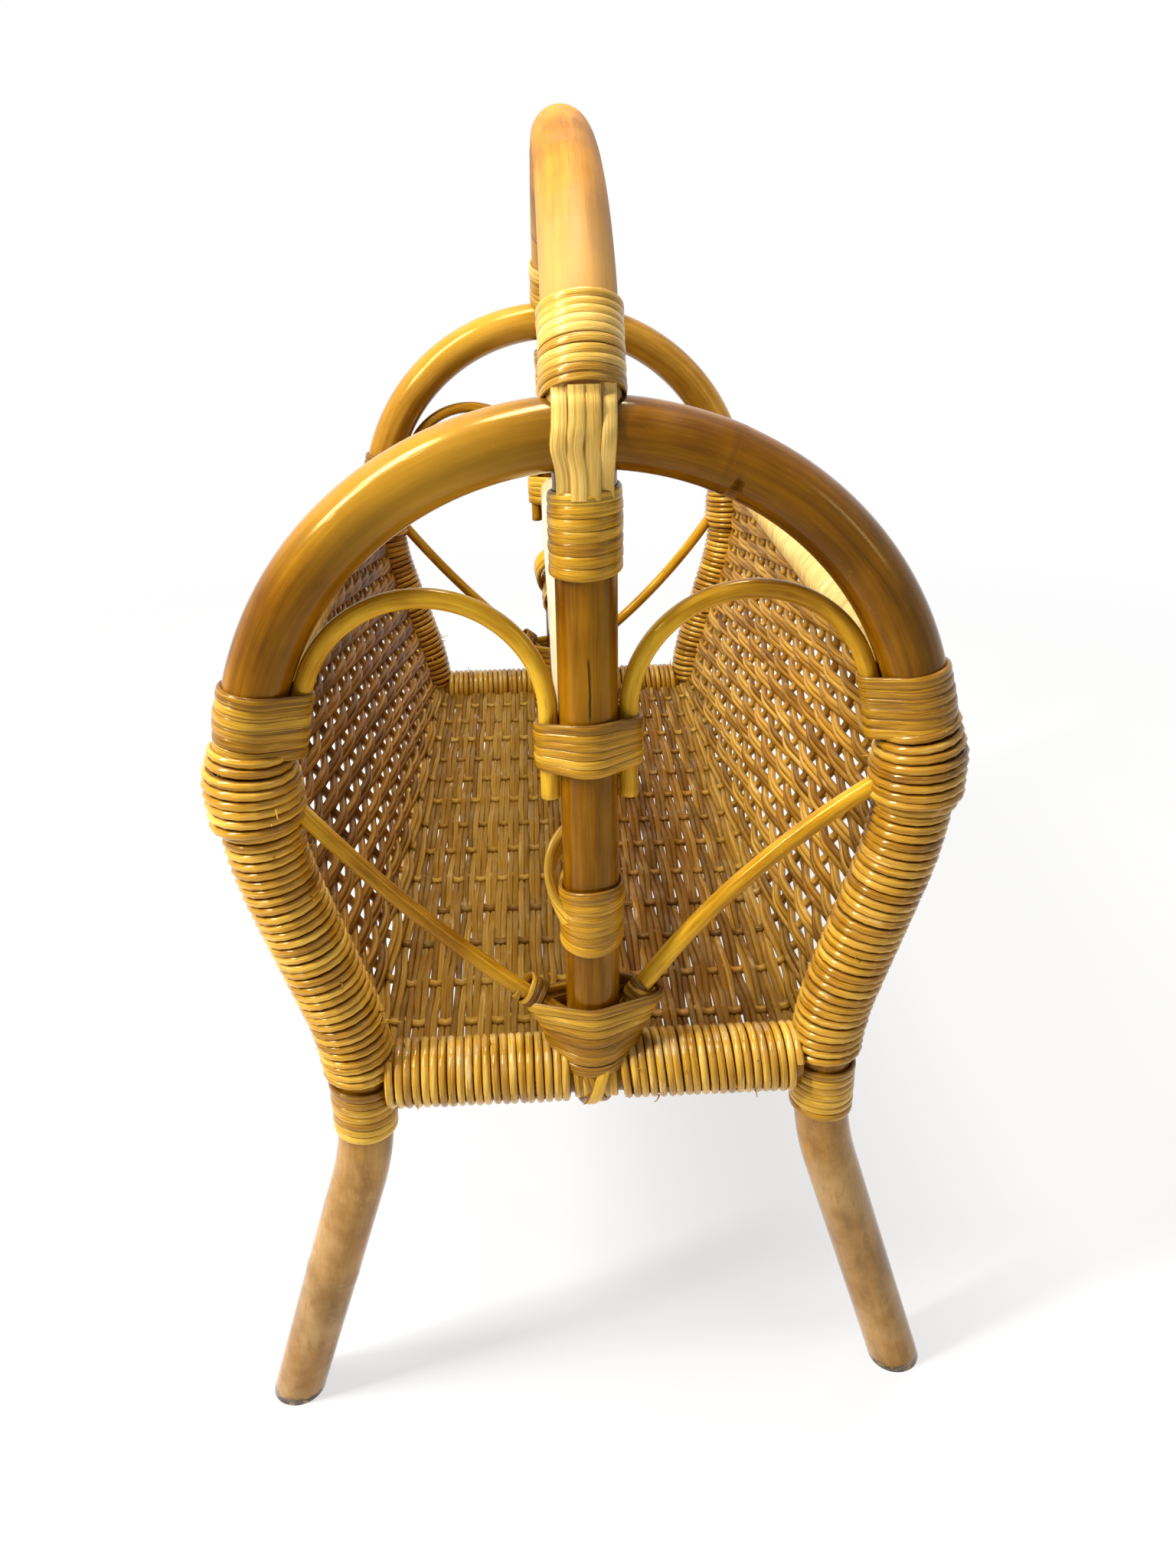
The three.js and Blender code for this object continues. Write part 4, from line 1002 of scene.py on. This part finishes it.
def bind(name, node, path, axisOne, axisTwo, circlesAt, look, extra=()):
    # extra holds more straps
    *strap, width = strapLine(path, axisOne, axisTwo, circlesAt, look, name)
    fromStart = np.arange(len(strap[0]))
    taper = np.clip(strapShape["tip"] + np.minimum(fromStart, fromStart[::-1]) / strapShape["taperSteps"], 0, 1)
    layStraps(name, node, [(*strap, taper), *extra], width * look.get("cover", 0.485), look["thick"] / 2,
              look.get("finish", flatCane), look.get("squareness", 0.6))


poleCircle = (0, 0, postRadius)
bindingLooks = {
    "side": {"low": 358.5, "high": 389.0, "turns": 6, "thick": 2.2, "tilt": 0.5, "start": 0.75},
    "corner": {"low": 171.0, "high": 202.0, "turns": 7, "thick": 2.2, "tilt": 0.5, "start": 0.75},
    "foot": {"low": 203.5, "high": 243.5, "turns": 7, "thick": 2.3, "tilt": 0.9, "bow": (0.4, -2.6),
             "finish": darkCane, "tones": (0.3, 0.9)},
    "handle": {"low": 485.0, "length": 35.6, "turns": 10, "thick": 1.5, "tilt": 0.8, "finish": stripCane,
               "squareness": 0.42, "cover": 0.5},
    "rail": {"reach": 11.6, "turns": 5, "thick": 1.8, "tilt": 0.2},
    "collar": {"outer": 218.2, "length": 17.0, "turns": 3, "thick": 2.0, "tilt": 0.2},
    "fold": {"low": 233.0, "high": 249.0, "turns": 3.3, "thick": 1.5, "tilt": 1.6, "finish": darkCane, "count": 20},
}
# the bindings of a post, with the circles that each one holds
postBindings = {
    "Centre": {"node": "centre_binding", "low": 347.0, "high": 373.0, "turns": 6, "thick": 2.2, "tilt": 0.4,
               "bow": (2.6, -1.5), "holds": [poleCircle, (rodSizes["legX"], 0, rodRadius),
                                             (-rodSizes["legX"], 0, rodRadius)]},
    "Lower": {"node": "lower_binding", "low": 263.5, "high": 300.5, "turns": 6, "thick": 2.2, "tilt": 0.7,
              "bow": (2.4, -3.4), "holds": [poleCircle]},
    "Post": {"node": "post_wrap", "low": 424.0, "high": 460.0, "turns": 7, "thick": 2.2, "tilt": 0.6,
             "bow": (0.5, -0.9), "holds": [poleCircle]},
}
# a strap that bulges round the left of the post, from the lower binding to the divider rail: x, out, height
bulgePath = [(-9.0, 7.0, 281.0), (-14.4, 2.0, 286.0), (-17.4, -4.0, 295.0), (-15.6, -10.0, 305.0),
             (-9.0, -14.0, 312.0), (-2.0, -15.0, 315.0)]
print("binding functions ready")


def bulge(y, facingOut):
    raw = np.array(bulgePath)
    spots = resampled(raw, np.linspace(0, lengths(raw)[-1], 30))
    for _ in range(12):
        spots[1:-1] = (spots[:-2] + spots[2:] + 2 * spots[1:-1]) / 4
    outwards = spots * (1, facingOut, 1)
    return [(outwards + (0, y, 0), unit(outwards * (1, 1, 0)), 0.85, 1.9)]


def crossedStraps(y, facingOut):
    # two straps that run down from the binding at the foot of the post and cross on the rail
    turn = np.radians(np.linspace(70, -80, 16))
    facing = np.column_stack([turn * 0, facingOut * np.cos(turn), np.sin(turn)])
    straps = []
    for lean, radius in ((-1, 15.3), (1, 16.4)):
        line = facing * radius + (0, y, railHeight)
        line[:, 0] = lean * np.linspace(7, -5, 16)
        straps.append((line, facing, 0.5 + 0.2 * lean, 1.2))
    return straps


def footCircles(share):
    # the binding at the foot of a post narrows downwards
    spread, reach = 13.5 + 14.0 * (1 - share) ** 2, 12.0 + 2.0 * share
    return outlineOf([(0, 0, reach), (-spread, 0, 4.2), (spread, 0, 4.2)], 1.0, 48)


def bindSide(corner, name, nodeName, y, sign):
    def besidePole(look):
        return onFrame(stretchOf(halfPath, look["low"], look["high"], 2.0), y, sign)

    look = bindingLooks["side"]
    path = besidePole(look)
    middle = path[len(path) // 2]
    outward = unit(np.array((middle[0], 0, middle[2] - frameSizes["archCentre"])))
    besideRod = [(0, 0, hoopRadius), (-hoopRadius - 0.3 - rodRadius, 0, rodRadius)]
    # painted shade: the left side bindings take the darker cane, as they stand in shade, and the right ones take the
    # plain flat cane
    bind(name + "SideBinding", nodeName + "side_binding", path, outward, yAxis, steady(besideRod, 0.75),
         {**look, "finish": flatCane if sign > 0 else darkCane})
    look = bindingLooks["corner"]
    bind(name + "CornerBinding", nodeName + "corner_binding", besidePole(look), xAxis, yAxis,
         steady([(0, 0, hoopRadius)], 0.85), look)
    look = bindingLooks["fold"]
    rod = slantRod(rodSizes, rodSizes["bows"][corner])
    near = onFrame(rod[(rod[:, 1] < look["high"]) & (rod[:, 1] > look["low"])], y, sign)
    bind(name + "RodFold", None, near, np.cross(yAxis, unit(near[-1] - near[0])), yAxis,
         steady([(0, 0, rodRadius), (-3.2, 2.0, 3.0)], 0.8, 20), look)


def bindFrame(end, y):
    facingOut = ends[end]

    def downPost(look):
        return [(0, y, height) for height in np.linspace(look["high"], look["low"], 12)]

    for word, look in postBindings.items():
        bind(f"{end}{word}Binding", f"{end}_{look['node']}", downPost(look), xAxis, yAxis * facingOut,
             steady(look["holds"], 0.9), look, bulge(y, facingOut) if word == "Lower" else ())
    look = bindingLooks["foot"]
    bind(end + "FootBinding", end + "_foot_binding", downPost(look), xAxis, yAxis * facingOut, footCircles, look)

    look = bindingLooks["rail"]
    path = [(x, y, railHeight) for x in np.linspace(-look["reach"], look["reach"], 12)]
    bind(end + "RailStrips", end + "_rail_strips", path, zAxis, yAxis * facingOut,
         steady([(0, 0, railRadius)], 1.3), look, crossedStraps(y, facingOut))

    look = bindingLooks["handle"]
    near = handlePath if end == "front" else handlePath[::-1]
    near = np.concatenate([near[:1] - (0, 0, 8), near])
    first = np.interp(look["low"], near[:40, 2], lengths(near)[:40])
    path = resampled(near, np.linspace(first, first + look["length"], 14))[::-1]
    bind(end + "HandleWrap", end + "_handle_wrap", path, xAxis,
         np.cross(unit(path[-1] - path[0]), xAxis), steady([(0, 0, handleRadius)], 0.8), look)

    look, rail = bindingLooks["collar"], railSizes["lowerDivider"]
    ys = np.linspace(look["outer"], look["outer"] - look["length"], 8) * facingOut
    bind(end + "DividerCollar", end + "_divider_collar", alongBasket(rail["x"], rail["z"], ys), xAxis,
         zAxis, steady([(0, 0, rail["radius"])], 1.2), look)


for corner, place in corners.items():
    bindSide(corner, *place)
for end, y in frameY.items():
    bindFrame(end, y)
print("bindings wound")


# Strips of flat cane laid over the arch, from under the handle's wrap down to under the post's. Above "sinkFrom"
# they dive under the wrap.
stripSizes = {
    "bottom": 455.0, "half": 2.8, "thick": 1.8, "xs": (-8.4, -2.8, 2.8, 8.2),
    "gap": 0.75, "sink": 1.6, "narrowing": 0.12, "smoothing": 14, "aside": 1.3,
    "faces": {"outer": {"face": 1, "top": 493.0, "sinkFrom": 487.3},
              "inner": {"face": -1, "top": 489.0, "sinkFrom": 484.0}},
}


def roundReach(radius, x):
    return math.sqrt(max(radius * radius - x * x, 0.0))


def stripPath(side, end, x):
    # (distance out of the frame, height) down one face of the joint, hugging handle, arch and post
    face, heights = side["face"], np.linspace(side["top"], stripSizes["bottom"], 30)
    out = []
    for z in heights - archTop:
        reach = [roundReach(postRadius, x)]
        if abs(z) < hoopRadius:
            reach.append(roundReach(hoopRadius, z))
        if z > 2:
            inward = halfSpan * (1 - math.cos(math.asin(min(1, z / handleSizes["rise"]))))
            reach.append(roundReach(handleRadius, x) - face * inward)
        out.append(max(reach))
    out = np.array(out)
    for _ in range(stripSizes["smoothing"]):
        out[1:-1] = np.maximum(out[1:-1], (out[:-2] + out[2:]) / 2)
    out += stripSizes["gap"] - stripSizes["sink"] * np.clip((heights - side["sinkFrom"]) / 3, 0, 1)
    narrow = 1 - stripSizes["narrowing"] * np.clip((archTop + 6 - heights) / 20, 0, 1)
    facing = face * ends[end]
    line = np.column_stack([x * narrow, frameY[end] + facing * out, heights])
    normal = np.cross(tangentsOf(line), (1.0, 0, 0)) * -facing
    normal[:, 0] += x * 0.03
    # the two left strips lean aside where they cross the arch
    line[:, 0] -= stripSizes["aside"] * np.exp(-((heights - archTop + 3) / 6) ** 2) * (x < 0)
    return line, unit(normal)


def archStrips():
    dice = random.Random(5)
    for end in ends:
        for word, side in stripSizes["faces"].items():
            straps = []
            for number, x in enumerate(stripSizes["xs"]):
                line, facing = stripPath(side, end, x + dice.uniform(-0.25, 0.25))
                line[:, 1] += side["face"] * ends[end] * (0.2 + 0.4 * (number % 2))
                straps.append((line, facing, dice.uniform(0.5, 1), dice.uniform(0.98, 1.1)))
            layStraps(f"{end}{word.title()}ArchStrips", f"{end}_{word}_arch_strips", straps, stripSizes["half"],
                      stripSizes["thick"] / 2, stripCane, 0.5)


archStrips()
print("arch strips laid")


# Loose fibres that stand off the windings
fibreSizes = {"count": 60, "root": 15.2, "longest": 8.0, "halfWide": 0.42, "halfThick": 0.28}


def looseFibres(sizes):
    dice = random.Random(77)
    straps = []
    for _ in range(sizes["count"]):
        y = frameY["front" if dice.random() < 0.7 else "rear"]
        if dice.random() < 0.55:
            x, z = halfPath[dice.randint(68, 108)]
            sign = dice.choice((-1, 1))
            place = np.array((x * sign, y, z))
            turn = dice.uniform(-1.3, 1.3)
            away = np.array((-sign * math.cos(turn), math.sin(turn), dice.uniform(-0.3, 0.3)))
        else:
            place = np.array((dice.uniform(-88, 88), y, railHeight))
            turn = dice.uniform(-0.6, 2.4)
            away = np.array((dice.uniform(-0.3, 0.3), math.copysign(1, y) * math.cos(turn), math.sin(turn)))
        bend = np.array([dice.uniform(-1, 1) for _ in range(3)])
        grown = np.linspace(0, dice.uniform(3.0, sizes["longest"]), 7)[:, None]
        line = place + away * (sizes["root"] + grown) + bend * (grown / 8) ** 2 * dice.uniform(2, 6)
        straps.append((line, np.tile(np.cross(away, bend), (7, 1)), dice.uniform(0, 0.8), np.linspace(1, 0.45, 7)))
    layStraps("looseFibres", None, straps, sizes["halfWide"], sizes["halfThick"])


looseFibres(fibreSizes)
print("loose fibres set")


# Soft studio light and a pale floor that runs into a white background
studio = {
    "floor": (0.85, 0.84, 0.82), "world": 0.13, "nearWhite": 0.7, "aim": (0, 0, 0.28),
    "lamps": {"key": ((-1.0, -0.45, 1.7), (0.26, 0.5), 31.0), "top": ((-0.1, 0.1, 1.9), (1.0, 0.26), 33.0),
              "side": ((-1.2, -0.65, 1.3), (0.12, 0.34), 17.0), "fill": ((1.4, -1.1, 1.0), (0.12, 0.6), 2.0)},
}


def seenShare(board):
    # 1 where the camera, a mirror or clear stuff looks, 0 for light that falls on things
    rays = board.place("ShaderNodeLightPath")
    camera, glossy, clear = (Wire(board, rays.outputs[f"Is {kind} Ray"])
                             for kind in ("Camera", "Glossy", "Transmission"))
    return board.maths("MAXIMUM", camera, board.maths("MAXIMUM", glossy, clear))


def makeFloor(look):
    made, board = shaderBoard("studio floor")
    place = board.add("ShaderNodeTexCoord", None, 3)
    away = board.add("ShaderNodeVectorMath", {0: place}, 1, operation="LENGTH")
    share = (board.within(away, 0.5, 1.6) * (1 - look["nearWhite"]) + look["nearWhite"]) * seenShare(board)
    plain = board.add("ShaderNodeBsdfDiffuse", {"Color": look["floor"]})
    bright = board.add("ShaderNodeEmission", {"Color": (1, 1, 1), "Strength": 1.0})
    mixed = board.add("ShaderNodeMixShader", {0: share, 1: plain, 2: bright})
    board.place("ShaderNodeOutputMaterial", {"Surface": mixed})
    mesh = bpy.data.meshes.new("studioFloor")
    mesh.from_pydata([(-30, -30, 0), (30, -30, 0), (30, 30, 0), (-30, 30, 0)], [], [(0, 1, 2, 3)])
    mesh.materials.append(made)
    placed("studioFloor", mesh)


def makeStudio(look):
    world = bpy.data.worlds.new("studio")
    bpy.context.scene.world = world
    world.use_nodes = True
    world.node_tree.nodes.clear()
    board = Board(world.node_tree)
    strength = seenShare(board) * (1 - look["world"]) + look["world"]
    air = board.add("ShaderNodeBackground", {"Color": (1, 1, 1), "Strength": strength})
    board.place("ShaderNodeOutputWorld", {"Surface": air})
    makeFloor(look)
    for name, (place, size, power) in look["lamps"].items():
        data = bpy.data.lights.new(name, "AREA")
        data.shape, data.size, data.size_y, data.energy = "RECTANGLE", *size, power
        aim = Vector(look["aim"]) - Vector(place)
        turned = aim.to_track_quat("-Z", "Y").to_matrix().to_4x4()
        placed(name, data).matrix_world = Matrix.Translation(place) @ turned
    bpy.context.scene.view_settings.view_transform = "Standard"


makeStudio(studio)
print("studio lit")
